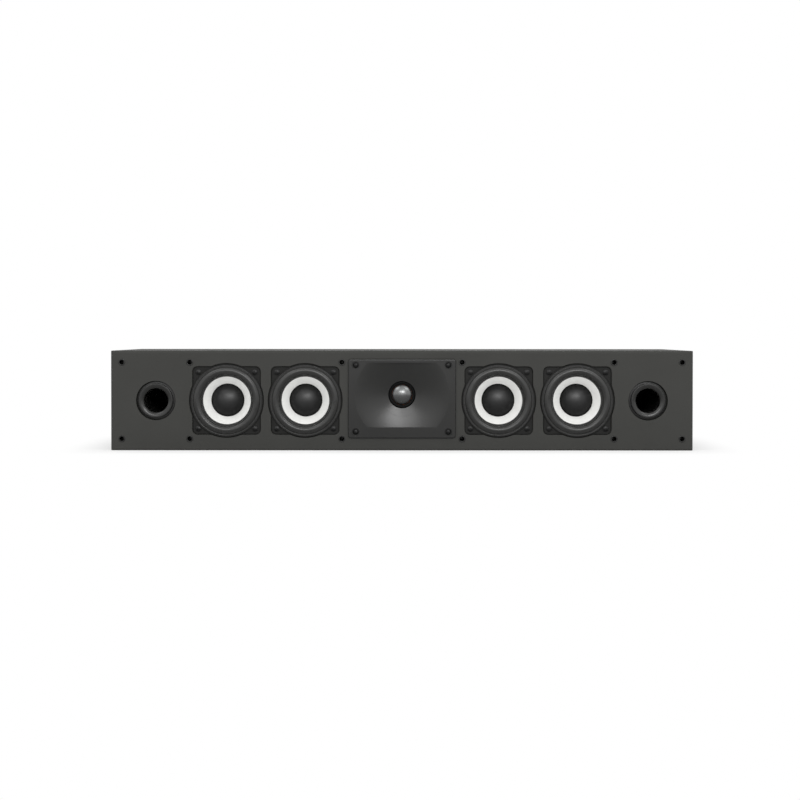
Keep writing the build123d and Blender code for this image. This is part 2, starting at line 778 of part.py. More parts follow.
def insert():
    foot = BOSS_Z + POST_CAP_LIFT + (STUD_LENGTH - INSERT_LENGTH) / 2
    return washer(INSERT_R, STUD_R + THREAD_CLEARANCE, foot, foot + INSERT_LENGTH)


def post_cap():
    """Fluted screw cap over the insert, open at its end for a plug."""
    foot = BOSS_Z + POST_CAP_LIFT
    top = foot + POST_CAP_LENGTH
    insert_top = foot + (STUD_LENGTH + INSERT_LENGTH) / 2
    body = rod(POST_CAP_R, foot, top)
    body = chamfer(body.faces().sort_by(Axis.Z)[-1].edges(), POST_CAP_BEVEL)
    body -= rod(INSERT_R + INSERT_CLEARANCE, foot, insert_top + INSERT_CLEARANCE)
    body -= rod(STUD_R + INSERT_CLEARANCE, foot, top - POST_CAP_END)
    body -= rod(POST_CAP_HOLE_R, foot, top)
    flutes = PolarLocations(POST_CAP_R + POST_CAP_FLUTE_R / 2, POST_CAP_FLUTES)
    return body - [spot * rod(POST_CAP_FLUTE_R, foot, top) for spot in flutes]


def nut():
    shape = extrude(RegularPolygon(NUT_FLATS / 2, 6, major_radius=False), NUT)
    return Pos(0, 0, NUT_Z) * shape - rod(STUD_R, NUT_Z, BOARD_Z)


BOARD_WIDTH = CUP_WIDTH + 2 * CUP_WALL - 2 * BOARD_MARGIN
BOARD_HEIGHT = CUP_HEIGHT + 2 * CUP_WALL - 2 * BOARD_MARGIN


def crossover_board():
    body = plate(BOARD_WIDTH, BOARD_HEIGHT, BOARD_CORNER, BOARD_Z, CUP_BACK_Z)
    return body - [Pos(x) * rod(STUD_R, BOARD_Z, CUP_BACK_Z) for x in (-POST_X, POST_X)]


def inductors():
    x = BOARD_WIDTH / 2 - INDUCTOR_INSET
    y = BOARD_HEIGHT / 2 - INDUCTOR_INSET
    coil = washer(INDUCTOR_R, INDUCTOR_HOLE_R, BOARD_Z - INDUCTOR_LENGTH, BOARD_Z)
    return [Pos(-x, y) * coil, Pos(x, -y) * coil]


def capacitors():
    x = BOARD_WIDTH / 2 - CAPACITOR_INSET
    y = BOARD_HEIGHT / 2 - CAPACITOR_INSET
    can = rod(CAPACITOR_R, BOARD_Z - CAPACITOR_LENGTH, BOARD_Z)
    return [Pos(-x, -y) * can, Pos(x, y) * can]


def resistor():
    y = BOARD_HEIGHT / 2 - RESISTOR_INSET
    block = Box(RESISTOR_LENGTH, RESISTOR_SIDE, RESISTOR_SIDE, align=(Align.CENTER, Align.CENTER, Align.MAX))
    return Pos(0, y, BOARD_Z) * block


# Cabinet

def cabinet_wrap():
    """Top, bottom and ends, folded from one board, open at the front and back."""
    low = (Align.CENTER, Align.MIN, Align.MIN)
    depth = CABINET_DEPTH - BAFFLE
    outside = Box(CABINET_WIDTH, depth, CABINET_HEIGHT, align=low)
    outside = fillet(outside.edges().filter_by(Axis.Y), WRAP_ROUND)
    inside = Pos(0, 0, SIDE_WALL) * Box(INSIDE_WIDTH, depth, INSIDE_HEIGHT, align=low)
    return Pos(0, INSIDE_FRONT_Y) * (outside - inside)


def front_baffle():
    """Full-size front board with rebates and holes for all that it carries."""
    board = Pos(0, FRONT_Y) * Box(
        CABINET_WIDTH, BAFFLE, CABINET_HEIGHT, align=(Align.CENTER, Align.MIN, Align.MIN)
    )
    board = fillet(board.edges().filter_by(Axis.Y), WRAP_ROUND)
    board = fillet(board.faces().sort_by(Axis.Y)[0].edges(), BAFFLE_ROUND)
    woofer_cut = woofer_cutter()
    port_cut = port_cutter()
    peg_cut = rod(PEG_TUBE_R, PEG_FLOOR - BAFFLE, 0)
    board -= [on_front(x, MIDDLE_Z) * woofer_cut for x in WOOFER_X]
    board -= on_front(0, PLATE_Z) * waveguide_cutter()
    board -= [on_front(x, MIDDLE_Z) * port_cut for x in (-PORT_X, PORT_X)]
    board -= [on_front(x, z) * peg_cut for x, z in PEG_SPOTS]
    return board


def back_panel():
    board = Pos(0, INSIDE_BACK_Y, SIDE_WALL) * Box(
        INSIDE_WIDTH, BACK_PANEL, INSIDE_HEIGHT, align=(Align.CENTER, Align.MIN, Align.MIN)
    )
    return board - on_back(0, MIDDLE_Z) * cup_cutter()


def brace(side):
    """Board across the cabinet with a large window."""
    window = RectangleRounded(INSIDE_DEPTH - 2 * BRACE_RIM, INSIDE_HEIGHT - 2 * BRACE_RIM, BRACE_CORNER)
    outline = Rectangle(INSIDE_DEPTH, INSIDE_HEIGHT) - window
    middle_y = (INSIDE_FRONT_Y + INSIDE_BACK_Y) / 2
    board = extrude(Plane.YZ * outline, BRACE / 2, both=True)
    return Pos(side * BRACE_X, middle_y, MIDDLE_Z) * board


def wadding(side):
    """Soft pad against the back panel, between a brace and a port."""
    start = BRACE_X + BRACE / 2 + WADDING_MARGIN
    end = PORT_X - PORT_TAIL_R - PORT_WALL - WADDING_MARGIN
    height = INSIDE_HEIGHT - 2 * WADDING_MARGIN
    pad = Box(end - start, WADDING, height, align=(Align.CENTER, Align.MAX, Align.CENTER))
    pad = fillet(pad.faces().sort_by(Axis.Y)[0].edges(), WADDING_ROUND)
    return Pos(side * (start + end) / 2, INSIDE_BACK_Y, MIDDLE_Z) * pad


# Assembly

def at_woofers(shape):
    return [on_front(x, MIDDLE_Z) * shape for x in WOOFER_X]


def assembly():
    pieces = {
        "cabinet_wrap": cabinet_wrap(),
        "front_baffle": front_baffle(),
        "back_panel": back_panel(),
        "brace_left": brace(-1),
        "brace_right": brace(1),
        "wadding_left": wadding(-1),
        "wadding_right": wadding(1),
    }
    one_each = {
        "basket": basket(),
        "surround": surround(),
        "cone": cone(),
        "dust_cap": dust_cap(),
        "spider": spider(),
        "voice_coil": voice_coil(),
    }
    for kind, shape in one_each.items():
        for number, placed in enumerate(at_woofers(shape), start=1):
            pieces[f"woofer_{number}_{kind}"] = placed
    pieces["woofer_gaskets"] = group(at_woofers(gasket()))
    pieces["woofer_top_plates"] = group(at_woofers(top_plate()))
    pieces["woofer_magnets"] = group(at_woofers(magnet()))
    pieces["woofer_yokes"] = group(at_woofers(yoke()))
    woofer_screw = screw(EAR_DROP)
    pieces["woofer_screws"] = group(
        [on_front(x, MIDDLE_Z) * Pos(dx, dz) * woofer_screw for x in WOOFER_X for dx, dz in WOOFER_SCREWS]
    )

    horn_axis = on_front(0, HORN_Z)
    pieces["waveguide"] = horn_axis * waveguide()
    pieces["tweeter_dome"] = horn_axis * dome()
    pieces["tweeter_surround"] = horn_axis * dome_surround()
    pieces["tweeter_voice_coil"] = horn_axis * dome_coil()
    pieces["tweeter_top_plate"] = horn_axis * tweeter_top_plate()
    pieces["tweeter_magnet"] = horn_axis * tweeter_magnet()
    pieces["tweeter_yoke"] = horn_axis * tweeter_yoke()
    plate_screw = screw(PLATE_SCREW_SINK - PLATE_PROUD)
    pieces["waveguide_screws"] = group(
        [on_front(0, PLATE_Z) * Pos(dx, dz) * plate_screw for dx, dz in PLATE_SCREWS]
    )
    woofer_tag = tag(SHELF_R - SHELF_WIDTH, SHELF_Z - FRAME_WALL)
    tweeter_tag = tag(T_PLATE_R, DISC_Z)
    pieces["driver_tags"] = group(at_woofers(woofer_tag) + [horn_axis * tweeter_tag])

    pieces["port_left"] = on_front(-PORT_X, MIDDLE_Z) * port()
    pieces["port_right"] = on_front(PORT_X, MIDDLE_Z) * port()
    socket = peg_socket()
    pieces["peg_sockets"] = group([on_front(x, z) * socket for x, z in PEG_SPOTS])

    back = on_back(0, MIDDLE_Z)
    pieces["terminal_cup"] = back * terminal_cup()
    cup_screw = screw(-CUP_PLATE)
    pieces["terminal_cup_screws"] = group([back * Pos(dx, dz) * cup_screw for dx, dz in CUP_SCREWS])
    post = stud()
    pieces["binding_post_studs"] = group([back * Pos(x) * post for x in (-POST_X, POST_X)])
    stud_nut = nut()
    pieces["stud_nuts"] = group([back * Pos(x) * stud_nut for x in (-POST_X, POST_X)])
    for colour, side in (("red", RED_SIDE), ("black", BLACK_SIDE)):
        pieces[f"{colour}_post_insert"] = back * Pos(side * POST_X) * insert()
        pieces[f"{colour}_post_cap"] = back * Pos(side * POST_X) * post_cap()
    pieces["crossover_board"] = back * crossover_board()
    pieces["crossover_inductors"] = group([back * coil for coil in inductors()])
    pieces["crossover_capacitors"] = group([back * can for can in capacitors()])
    pieces["crossover_resistor"] = back * resistor()
    return pieces


os.makedirs("parts", exist_ok=True)
for name, piece in assembly().items():
    export_step(piece, f"parts/{name}.step")
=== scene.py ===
"""Slim center channel speaker: finishes, detailed pieces and a plain studio around its solids."""

import json
import math

import bmesh
import bpy
from mathutils import Matrix, Vector, noise

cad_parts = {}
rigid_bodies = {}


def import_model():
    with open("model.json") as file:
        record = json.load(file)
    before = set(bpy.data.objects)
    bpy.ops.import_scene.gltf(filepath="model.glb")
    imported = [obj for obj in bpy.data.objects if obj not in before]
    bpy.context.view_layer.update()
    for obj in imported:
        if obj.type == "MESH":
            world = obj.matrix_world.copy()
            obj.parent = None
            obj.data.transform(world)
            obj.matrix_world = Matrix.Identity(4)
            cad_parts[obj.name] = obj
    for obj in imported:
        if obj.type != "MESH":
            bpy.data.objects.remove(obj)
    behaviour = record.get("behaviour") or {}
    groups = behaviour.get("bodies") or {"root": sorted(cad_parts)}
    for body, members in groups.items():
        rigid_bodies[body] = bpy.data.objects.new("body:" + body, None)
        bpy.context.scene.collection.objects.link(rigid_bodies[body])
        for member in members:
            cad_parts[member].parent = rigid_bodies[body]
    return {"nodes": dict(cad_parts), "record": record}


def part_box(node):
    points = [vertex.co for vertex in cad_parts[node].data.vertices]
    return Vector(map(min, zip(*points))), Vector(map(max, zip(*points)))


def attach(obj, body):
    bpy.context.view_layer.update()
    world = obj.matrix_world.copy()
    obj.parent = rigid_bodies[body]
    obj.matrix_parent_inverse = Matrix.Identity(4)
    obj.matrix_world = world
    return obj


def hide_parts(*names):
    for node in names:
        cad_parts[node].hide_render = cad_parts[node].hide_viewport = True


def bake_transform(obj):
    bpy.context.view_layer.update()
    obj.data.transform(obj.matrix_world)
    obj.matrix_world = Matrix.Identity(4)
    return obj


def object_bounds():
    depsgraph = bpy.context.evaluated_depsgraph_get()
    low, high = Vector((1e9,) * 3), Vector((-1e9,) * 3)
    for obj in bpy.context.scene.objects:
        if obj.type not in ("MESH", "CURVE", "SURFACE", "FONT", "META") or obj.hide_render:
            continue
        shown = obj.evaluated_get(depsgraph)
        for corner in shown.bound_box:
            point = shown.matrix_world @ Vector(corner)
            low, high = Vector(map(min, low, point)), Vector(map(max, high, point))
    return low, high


bl_info = {
    "name": "Center channel speaker",
    "version": (1, 0, 0),
    "blender": (4, 5, 0),
    "location": "3D View > Sidebar > Speaker",
    "description": "Dresses a slim center channel speaker and sets up its studio",
    "category": "Object",
}

for leftover in list(bpy.data.objects):
    bpy.data.objects.remove(leftover)
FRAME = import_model()
CAD_LOW, CAD_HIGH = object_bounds()
NODES = FRAME["nodes"]

MM = 0.001
WOOFERS = (1, 2, 3, 4)
SIDES = ("left", "right")
FRONT_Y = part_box("front_baffle")[0].y
BACK_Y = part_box("cabinet_wrap")[1].y
ON_AXIS = 1e-6
# Mesh attribute that fades the dust caps' shine from one on the crest to none at the rim: painted shade
# that keeps the rim from reflecting the white cone.
PAINTED_RIM_SHADE_ATTRIBUTE = "coat"
FULL_TURN = 2 * math.pi


# Frame and colour helpers

def linear(hex_colour):
    """Linear red, green and blue of an sRGB hex colour."""
    parts = [int(hex_colour[i:i + 2], 16) / 255 for i in (0, 2, 4)]
    return tuple(c / 12.92 if c <= 0.04045 else ((c + 0.055) / 1.055) ** 2.4 for c in parts)


def middle(node):
    """Middle of a node's box."""
    low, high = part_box(node)
    return (low + high) / 2


def on_front(x, z):
    """Place for a piece drawn in millimetres on the baffle: its axis points out and its y up."""
    turn = Matrix.Rotation(math.pi / 2, 4, "X")
    return Matrix.Translation((x, FRONT_Y, z)) @ turn @ Matrix.Scale(MM, 4)


def on_back(x, z):
    """The same on the back panel's face."""
    turn = Matrix.Rotation(math.pi, 4, "Z") @ Matrix.Rotation(math.pi / 2, 4, "X")
    return Matrix.Translation((x, BACK_Y, z)) @ turn @ Matrix.Scale(MM, 4)


def front_place(node):
    """Place on the baffle at a node's middle."""
    spot = middle(node)
    return on_front(spot.x, spot.z)


WOOFER_PLACE = {n: front_place(f"woofer_{n}_basket") for n in WOOFERS}
TWEETER_PLACE = front_place("tweeter_dome")
PLATE_PLACE = front_place("waveguide")
PORT_PLACE = {side: front_place(f"port_{side}") for side in SIDES}
CUP_PLACE = on_back(middle("terminal_cup").x, middle("terminal_cup").z)


def peg_places():
    """Places of the grille's peg sockets, four to each bolt pattern of the record."""
    places = []
    for mount in FRAME["record"]["mounts"]:
        if mount["kind"] != "bolt_pattern":
            continue
        x, _, z = mount["pos_m"]
        half_x = mount["dims"]["spacing_x_mm"] / 2 * MM
        half_z = mount["dims"]["spacing_y_mm"] / 2 * MM
        places += [on_front(x + sx * half_x, z + sz * half_z) for sx in (-1, 1) for sz in (-1, 1)]
    return places


# Properties

def colour(name, description, hex_colour):
    """Colour property with an sRGB hex colour as its default."""
    return bpy.props.FloatVectorProperty(
        name=name, description=description, subtype="COLOR", size=3, min=0, max=1,
        default=linear(hex_colour),
    )


class SpeakerColours(bpy.types.PropertyGroup):
    """Colours that a user would change."""

    vinyl: colour("Vinyl", "Film over the cabinet boards", "3b3b39")
    cone: colour("Cone", "Coated paper of the woofer cones", "e6e6e3")
    dust_cap: colour("Dust cap", "Pressed caps in the middle of the cones", "191919")
    rubber: colour("Rubber", "Half-roll surrounds of the woofers", "292928")
    flange: colour("Flange", "Paint on the pressed woofer baskets", "212120")
    moulding: colour("Moulding", "Waveguide, ports and terminal cup", "212120")
    dome: colour("Dome", "Metal of the tweeter dome", "7a7b7b")
    red_post: colour("Red post", "Cap of the positive post", "a81414")
    black_post: colour("Black post", "Cap of the negative post", "161616")


class SpeakerSizes(bpy.types.PropertyGroup):
    """Sizes of the woofer and tweeter skins, in millimetres, as in the solids."""

    roll_radius: bpy.props.FloatProperty(
        name="Roll radius", description="Radius of the surround's half-roll in mm",
        default=4.2, min=3.0, max=6.0,
    )
    rubber: bpy.props.FloatProperty(
        name="Rubber", description="Thickness of the surround in mm",
        default=0.8, min=0.4, max=1.2,
    )
    cap_rise: bpy.props.FloatProperty(
        name="Cap rise", description="Height of the dust cap's crest over its rim in mm",
        default=7.0, min=4.0, max=9.0,
    )
    dome_rise: bpy.props.FloatProperty(
        name="Dome rise", description="Height of the tweeter dome's crest in mm",
        default=4.0, min=2.5, max=5.0,
    )
    round_steps: bpy.props.IntProperty(
        name="Round steps", description="Faces around a turned piece",
        default=128, min=32, max=256,
    )


class SpeakerStudio(bpy.types.PropertyGroup):
    """Camera, lamps and room."""

    camera_distance: bpy.props.FloatProperty(
        name="Distance", description="Camera to the baffle's face",
        default=1.440, min=0.5, subtype="DISTANCE",
    )
    camera_height: bpy.props.FloatProperty(
        name="Height", description="Camera above the floor",
        default=0.1185, min=0.0, subtype="DISTANCE",
    )
    camera_side: bpy.props.FloatProperty(
        name="Side", description="Camera to the right of the middle",
        default=0.0, subtype="DISTANCE",
    )
    camera_pitch: bpy.props.FloatProperty(
        name="Pitch", description="How far the camera looks down",
        default=math.radians(0.74), subtype="ANGLE",
    )
    camera_roll: bpy.props.FloatProperty(
        name="Roll", description="How far the camera leans",
        default=math.radians(-0.035), subtype="ANGLE",
    )
    lens: bpy.props.FloatProperty(
        name="Lens", description="Focal length in mm on a 36 mm sensor",
        default=63.47, min=20, max=200,
    )
    shift_x: bpy.props.FloatProperty(
        name="Shift X", description="Framing across the picture",
        default=-0.0025,
    )
    shift_y: bpy.props.FloatProperty(
        name="Shift Y", description="Framing up the picture",
        default=-0.0590,
    )
    key_power: bpy.props.FloatProperty(
        name="Key light", description="Wide soft box right of the camera",
        default=10.0, min=0, subtype="POWER",
    )
    fill_power: bpy.props.FloatProperty(
        name="Fill light", description="Wide soft box left of the camera",
        default=5.0, min=0, subtype="POWER",
    )
    left_power: bpy.props.FloatProperty(
        name="Left light", description="Soft box high on the left",
        default=3.5, min=0, subtype="POWER",
    )
    right_power: bpy.props.FloatProperty(
        name="Right light", description="Soft box high on the right",
        default=4.0, min=0, subtype="POWER",
    )
    room_light: bpy.props.FloatProperty(
        name="Room light", description="Strength of the light from all round",
        default=0.85, min=0, max=1,
    )


# Node materials

FINE_DETAIL = 3.0
FINE_ROUGHNESS = 0.55
FINE_SHARE = 0.4
BROAD_DETAIL = 2.0
TINT_RANGE = (0.45, 0.95)
GLOSS_RANGE = (0.4, 1.0)
WAVE_RADIANS = 20
CAP_SHINE = 0.65


def add(tree, kind, settings=None, inputs=None):
    """One node with its settings, its input values and the links that feed it."""
    made = tree.nodes.new(kind)
    for key, value in (settings or {}).items():
        setattr(made, key, value)
    for key, value in (inputs or {}).items():
        if isinstance(value, bpy.types.NodeSocket):
            tree.links.new(value, made.inputs[key])
        else:
            made.inputs[key].default_value = value
    return made


def opaque(rgb):
    """Colour with full alpha."""
    return (*rgb, 1.0)


def shade(rgb, factor):
    """Colour made darker or lighter."""
    return tuple(min(1.0, c * factor) for c in rgb)


def per_mm(size):
    """Texture scale at which a pattern's features are this many millimetres across."""
    return 1 / (size * MM)


def bands_per_mm(pitch):
    """Scale of a wave texture whose bands are this many millimetres apart."""
    return FULL_TURN / WAVE_RADIANS / (pitch * MM)


def mottled(name, rgb, grain, depth, rough, spread=0.12, patch=30.0, **constants):
    """Material whose colour, gloss and relief vary with a grain of this many millimetres."""
    made = bpy.data.materials.new(name)
    made.use_nodes = True
    tree = made.node_tree
    shader = tree.nodes["Principled BSDF"]
    place = add(tree, "ShaderNodeTexCoord").outputs["Object"]
    fine = add(tree, "ShaderNodeTexNoise", inputs={
        "Vector": place, "Scale": per_mm(grain), "Detail": FINE_DETAIL, "Roughness": FINE_ROUGHNESS,
    })
    broad = add(tree, "ShaderNodeTexNoise", inputs={
        "Vector": place, "Scale": per_mm(patch), "Detail": BROAD_DETAIL,
    })
    both = add(tree, "ShaderNodeMath", {"operation": "MULTIPLY_ADD"}, {
        0: fine.outputs[0], 1: FINE_SHARE, 2: broad.outputs[0],
    })
    tint = add(tree, "ShaderNodeMapRange", inputs={
        "Value": both.outputs[0], "From Min": TINT_RANGE[0], "From Max": TINT_RANGE[1],
        "To Min": 0.0, "To Max": 1.0,
    })
    blend = add(tree, "ShaderNodeMix", {"data_type": "RGBA"}, {
        0: tint.outputs[0], 6: opaque(shade(rgb, 1 - spread)), 7: opaque(shade(rgb, 1 + spread)),
    })
    gloss = add(tree, "ShaderNodeMapRange", inputs={
        "Value": both.outputs[0], "From Min": GLOSS_RANGE[0], "From Max": GLOSS_RANGE[1],
        "To Min": rough[0], "To Max": rough[1],
    })
    relief = add(tree, "ShaderNodeBump", inputs={
        "Height": fine.outputs[0], "Distance": depth * MM, "Strength": 1.0,
    })
    tree.links.new(blend.outputs[2], shader.inputs["Base Color"])
    tree.links.new(gloss.outputs[0], shader.inputs["Roughness"])
    tree.links.new(relief.outputs[0], shader.inputs["Normal"])
    for socket, value in constants.items():
        shader.inputs[socket.replace("_", " ")].default_value = value
    return made


def swap_relief(made, height, depth):
    """Give a material's bump another height pattern."""
    tree = made.node_tree
    relief = next(n for n in tree.nodes if n.bl_idname == "ShaderNodeBump")
    tree.links.new(height, relief.inputs["Height"])
    relief.inputs["Distance"].default_value = depth * MM
    return made


def texture_place(tree):
    """Place on the object that a material's patterns follow."""
    return next(n for n in tree.nodes if n.bl_idname == "ShaderNodeTexCoord").outputs["Object"]


def woven(made, pitch, crossing, depth):
    """Give a material the relief of a square weave with threads this many millimetres apart."""
    tree = made.node_tree
    place = texture_place(tree)
    scale = bands_per_mm(pitch)
    warp = add(tree, "ShaderNodeTexWave", {"bands_direction": "X"}, {"Vector": place, "Scale": scale})
    weft = add(tree, "ShaderNodeTexWave", {"bands_direction": "Z"}, {"Vector": place, "Scale": scale})
    threads = add(tree, "ShaderNodeMath", {"operation": crossing}, {
        0: warp.outputs[1], 1: weft.outputs[1],
    })
    return swap_relief(made, threads.outputs[0], depth)


def vinyl_film():
    # Calendered PVC film laid over board: matt, its sheen broken up by a fine pressed leather grain.
    return mottled(
        "PVC_film_pressed_grain", bpy.context.scene.speaker_colours.vinyl, grain=0.9, depth=0.05,
        rough=(0.50, 0.62), spread=0.06, patch=60.0, Specular_IOR_Level=0.1,
    )


def fibre_board():
    # Medium-density fibreboard, sawn: dull brown with fine flecks.
    return mottled(
        "MDF_sawn", linear("8a6f4f"), grain=0.7, depth=0.06,
        rough=(0.8, 0.95), spread=0.2, patch=8.0,
    )


def painted_steel():
    # Pressed steel under black powder paint: satin, with a slight orange peel.
    return mottled(
        "Steel_pressed_black_powder_paint", bpy.context.scene.speaker_colours.flange,
        grain=1.1, depth=0.02, rough=(0.42, 0.52), spread=0.08, Specular_IOR_Level=0.14,
    )


def butyl_rubber():
    # Moulded butyl rubber: soft broad shine with a faint dusty bloom.
    return mottled(
        "Butyl_rubber_moulded", bpy.context.scene.speaker_colours.rubber, grain=0.5, depth=0.012,
        rough=(0.25, 0.33), spread=0.10, patch=14.0, Specular_IOR_Level=0.5,
    )


def coated_paper():
    # Pressed paper pulp under a white coat: bright and matt, with short fibres just showing.
    return mottled(
        "Paper_cone_white_coat", bpy.context.scene.speaker_colours.cone, grain=0.8, depth=0.05,
        rough=(0.55, 0.7), spread=0.03, patch=10.0, Specular_IOR_Level=0.35,
    )


def doped_cap():
    # Pressed cap with a black dope coat: satin on the crest. Its shine fades to none at the rim through a
    # painted shade mask, so the rim does not reflect the white cone.
    made = mottled(
        "Dust_cap_black_dope", bpy.context.scene.speaker_colours.dust_cap, grain=0.7, depth=0.015,
        rough=(0.34, 0.42), spread=0.10, patch=9.0,
    )
    tree = made.node_tree
    # Painted shade: the coat attribute scales the shine, one on the crest and none at the rim.
    coat = add(tree, "ShaderNodeAttribute", {"attribute_name": PAINTED_RIM_SHADE_ATTRIBUTE})
    shine = add(tree, "ShaderNodeMath", {"operation": "MULTIPLY"}, {0: coat.outputs["Fac"], 1: CAP_SHINE})
    tree.links.new(shine.outputs[0], tree.nodes["Principled BSDF"].inputs["Specular IOR Level"])
    return made


def moulded_abs():
    # ABS moulded in a spark-eroded tool: dark satin with an even fine sparkle.
    return mottled(
        "ABS_moulded_spark_texture", bpy.context.scene.speaker_colours.moulding, grain=0.45, depth=0.012,
        rough=(0.22, 0.28), spread=0.05, patch=40.0, Specular_IOR_Level=0.5,
    )


def anodised_dome():
    # Spun aluminium, clear anodised: grey metal with a soft bright spot.
    return mottled(
        "Aluminium_spun_anodised", bpy.context.scene.speaker_colours.dome, grain=0.4, depth=0.003,
        rough=(0.24, 0.32), spread=0.04, patch=6.0, Metallic=1.0,
    )


def coated_silk():
    # Woven silk under damping lacquer: near black, barely shining.
    return mottled(
        "Silk_woven_lacquered", linear("0c0c0c"), grain=0.3, depth=0.02,
        rough=(0.5, 0.65), Specular_IOR_Level=0.1,
    )


def black_oxide_screw():
    # Steel with a black oxide finish: dark, with a hard little glint.
    return mottled(
        "Steel_black_oxide", linear("363636"), grain=0.3, depth=0.004,
        rough=(0.34, 0.46), patch=3.0, Metallic=1.0,
    )


def gold_flash_brass():
    # Turned brass with a thin gold flash: warm and bright.
    return mottled(
        "Brass_turned_gold_flash", linear("d9b25c"), grain=0.3, depth=0.004,
        rough=(0.18, 0.28), patch=4.0, Metallic=1.0,
    )


def red_polycarbonate():
    # Clear red polycarbonate, moulded: glossy, with light going a little way in.
    return mottled(
        "Polycarbonate_red", bpy.context.scene.speaker_colours.red_post, grain=0.6, depth=0.004,
        rough=(0.16, 0.24), spread=0.05, Subsurface_Weight=0.1, IOR=1.58,
    )


def black_polycarbonate():
    # Black polycarbonate, moulded: glossy and deep.
    return mottled(
        "Polycarbonate_black", bpy.context.scene.speaker_colours.black_post, grain=0.6, depth=0.004,
        rough=(0.16, 0.24), spread=0.05, IOR=1.58,
    )


def spider_cloth():
    # Cotton cloth set with phenolic resin: tan, with an open square weave. Threads are 0.8 mm apart.
    made = mottled(
        "Cotton_phenolic_weave", linear("b98d45"), grain=0.5, depth=0.05,
        rough=(0.7, 0.85), spread=0.15,
    )
    return woven(made, pitch=0.8, crossing="MAXIMUM", depth=0.2)


def copper_wire():
    # Enamelled copper wire, wound: orange-brown bands across the coil's axis, 0.5 mm apart.
    made = mottled(
        "Copper_wire_enamelled", linear("b0602c"), grain=0.6, depth=0.02,
        rough=(0.25, 0.35), patch=5.0, Metallic=1.0,
    )
    tree = made.node_tree
    turns = add(tree, "ShaderNodeTexWave", {"bands_direction": "Y"}, {
        "Vector": texture_place(tree), "Scale": bands_per_mm(0.5),
    })
    return swap_relief(made, turns.outputs[1], depth=0.15)


def foam_gasket():
    # Closed-cell polyethylene foam: black, dull and pitted.
    return mottled("Polyethylene_foam", linear("1d1d1d"), grain=0.6, depth=0.12, rough=(0.8, 0.95))


def zinc_steel():
    # Steel plate with bright zinc: pale cool metal with faint cloudy patches.
    return mottled(
        "Steel_zinc_plated", linear("b9bcbf"), grain=1.5, depth=0.006,
        rough=(0.28, 0.42), patch=7.0, Metallic=1.0,
    )


def sintered_ferrite():
    # Sintered ferrite, ground on its faces: charcoal, dull, lightly grainy.
    return mottled(
        "Ferrite_sintered", linear("3c3c3f"), grain=0.5, depth=0.05,
        rough=(0.6, 0.75), patch=12.0,
    )


def tag_board():
    # Phenolic paper board: brown and faintly layered.
    return mottled("Phenolic_paper_board", linear("6d4223"), grain=0.5, depth=0.01, rough=(0.5, 0.6))


def circuit_laminate():
    # Glass-epoxy laminate under green lacquer: smooth, its weave just showing. Threads are 0.6 mm apart.
    made = mottled(
        "Glass_epoxy_green_lacquer", linear("1f5134"), grain=0.6, depth=0.01, rough=(0.3, 0.4),
    )
    return woven(made, pitch=0.6, crossing="ADD", depth=0.01)


def shrink_sleeve():
    # Shrunk PVC sleeve over an aluminium can: smooth dark blue.
    return mottled(
        "PVC_shrink_sleeve", linear("22304f"), grain=0.8, depth=0.004,
        rough=(0.25, 0.35), spread=0.06,
    )


def sand_cement():
    # Sand-filled cement in a ceramic tray: off-white and gritty.
    return mottled(
        "Cement_sand_filled", linear("d6d1c6"), grain=0.5, depth=0.06,
        rough=(0.8, 0.95), patch=6.0,
    )


def polyester_wadding():
    # Bonded polyester fibre: off-white, fluffy, with soft sheen from the fibre ends.
    return mottled(
        "Polyester_fibre_wadding", linear("d2d1cb"), grain=1.4, depth=0.5,
        rough=(0.85, 1.0), spread=0.10, patch=12.0, Sheen_Weight=0.4,
    )


FINISHES = {
    "black_vinyl_board": vinyl_film,
    "bare_board": fibre_board,
    "black_pressed_steel": painted_steel,
    "black_rubber": butyl_rubber,
    "white_paper_cone": coated_paper,
    "black_dust_cap": doped_cap,
    "black_moulding": moulded_abs,
    "silver_dome": anodised_dome,
    "dome_cloth": coated_silk,
    "black_screw": black_oxide_screw,
    "brass": gold_flash_brass,
    "red_cap": red_polycarbonate,
    "black_cap": black_polycarbonate,
    "spider_cloth": spider_cloth,
    "coil_wire": copper_wire,
    "gasket_foam": foam_gasket,
    "zinc_plate": zinc_steel,
    "ferrite": sintered_ferrite,
    "tag_board": tag_board,
    "board_laminate": circuit_laminate,
    "can_sleeve": shrink_sleeve,
    "cement": sand_cement,
    "wadding_fibre": polyester_wadding,
}
MADE = {}


def finish_of(slot):
    """The material of one of the record's slots, made on its first use."""
    if slot not in MADE:
        MADE[slot] = FINISHES[slot]()
    return MADE[slot]


# Mesh helpers

NEARLY_STRAIGHT = 2.7
EASE_SHARE = 0.45
EASE_STEPS = (0.0, 0.33, 0.67, 1.0)
SHARP_DEGREES = 32.0


def arc(centre, radii, start, end, count):
    """Points along an arc, with angles in degrees and one radius or a pair of them."""
    across, up = radii if isinstance(radii, tuple) else (radii, radii)
    points = []
    for i in range(count + 1):
        angle = math.radians(start + (end - start) * i / count)
        points.append((centre[0] + across * math.cos(angle), centre[1] + up * math.sin(angle)))
    return points


def dome_points(rim_r, rim_z, crest_z, count):
    """Points of a round dome from its rim up to its crest on the axis."""
    rise = crest_z - rim_z
    ball = (rim_r ** 2 + rise ** 2) / (2 * rise)
    foot = math.degrees(math.asin((ball - rise) / ball))
    return arc((0, crest_z - ball), ball, foot, 90, count)


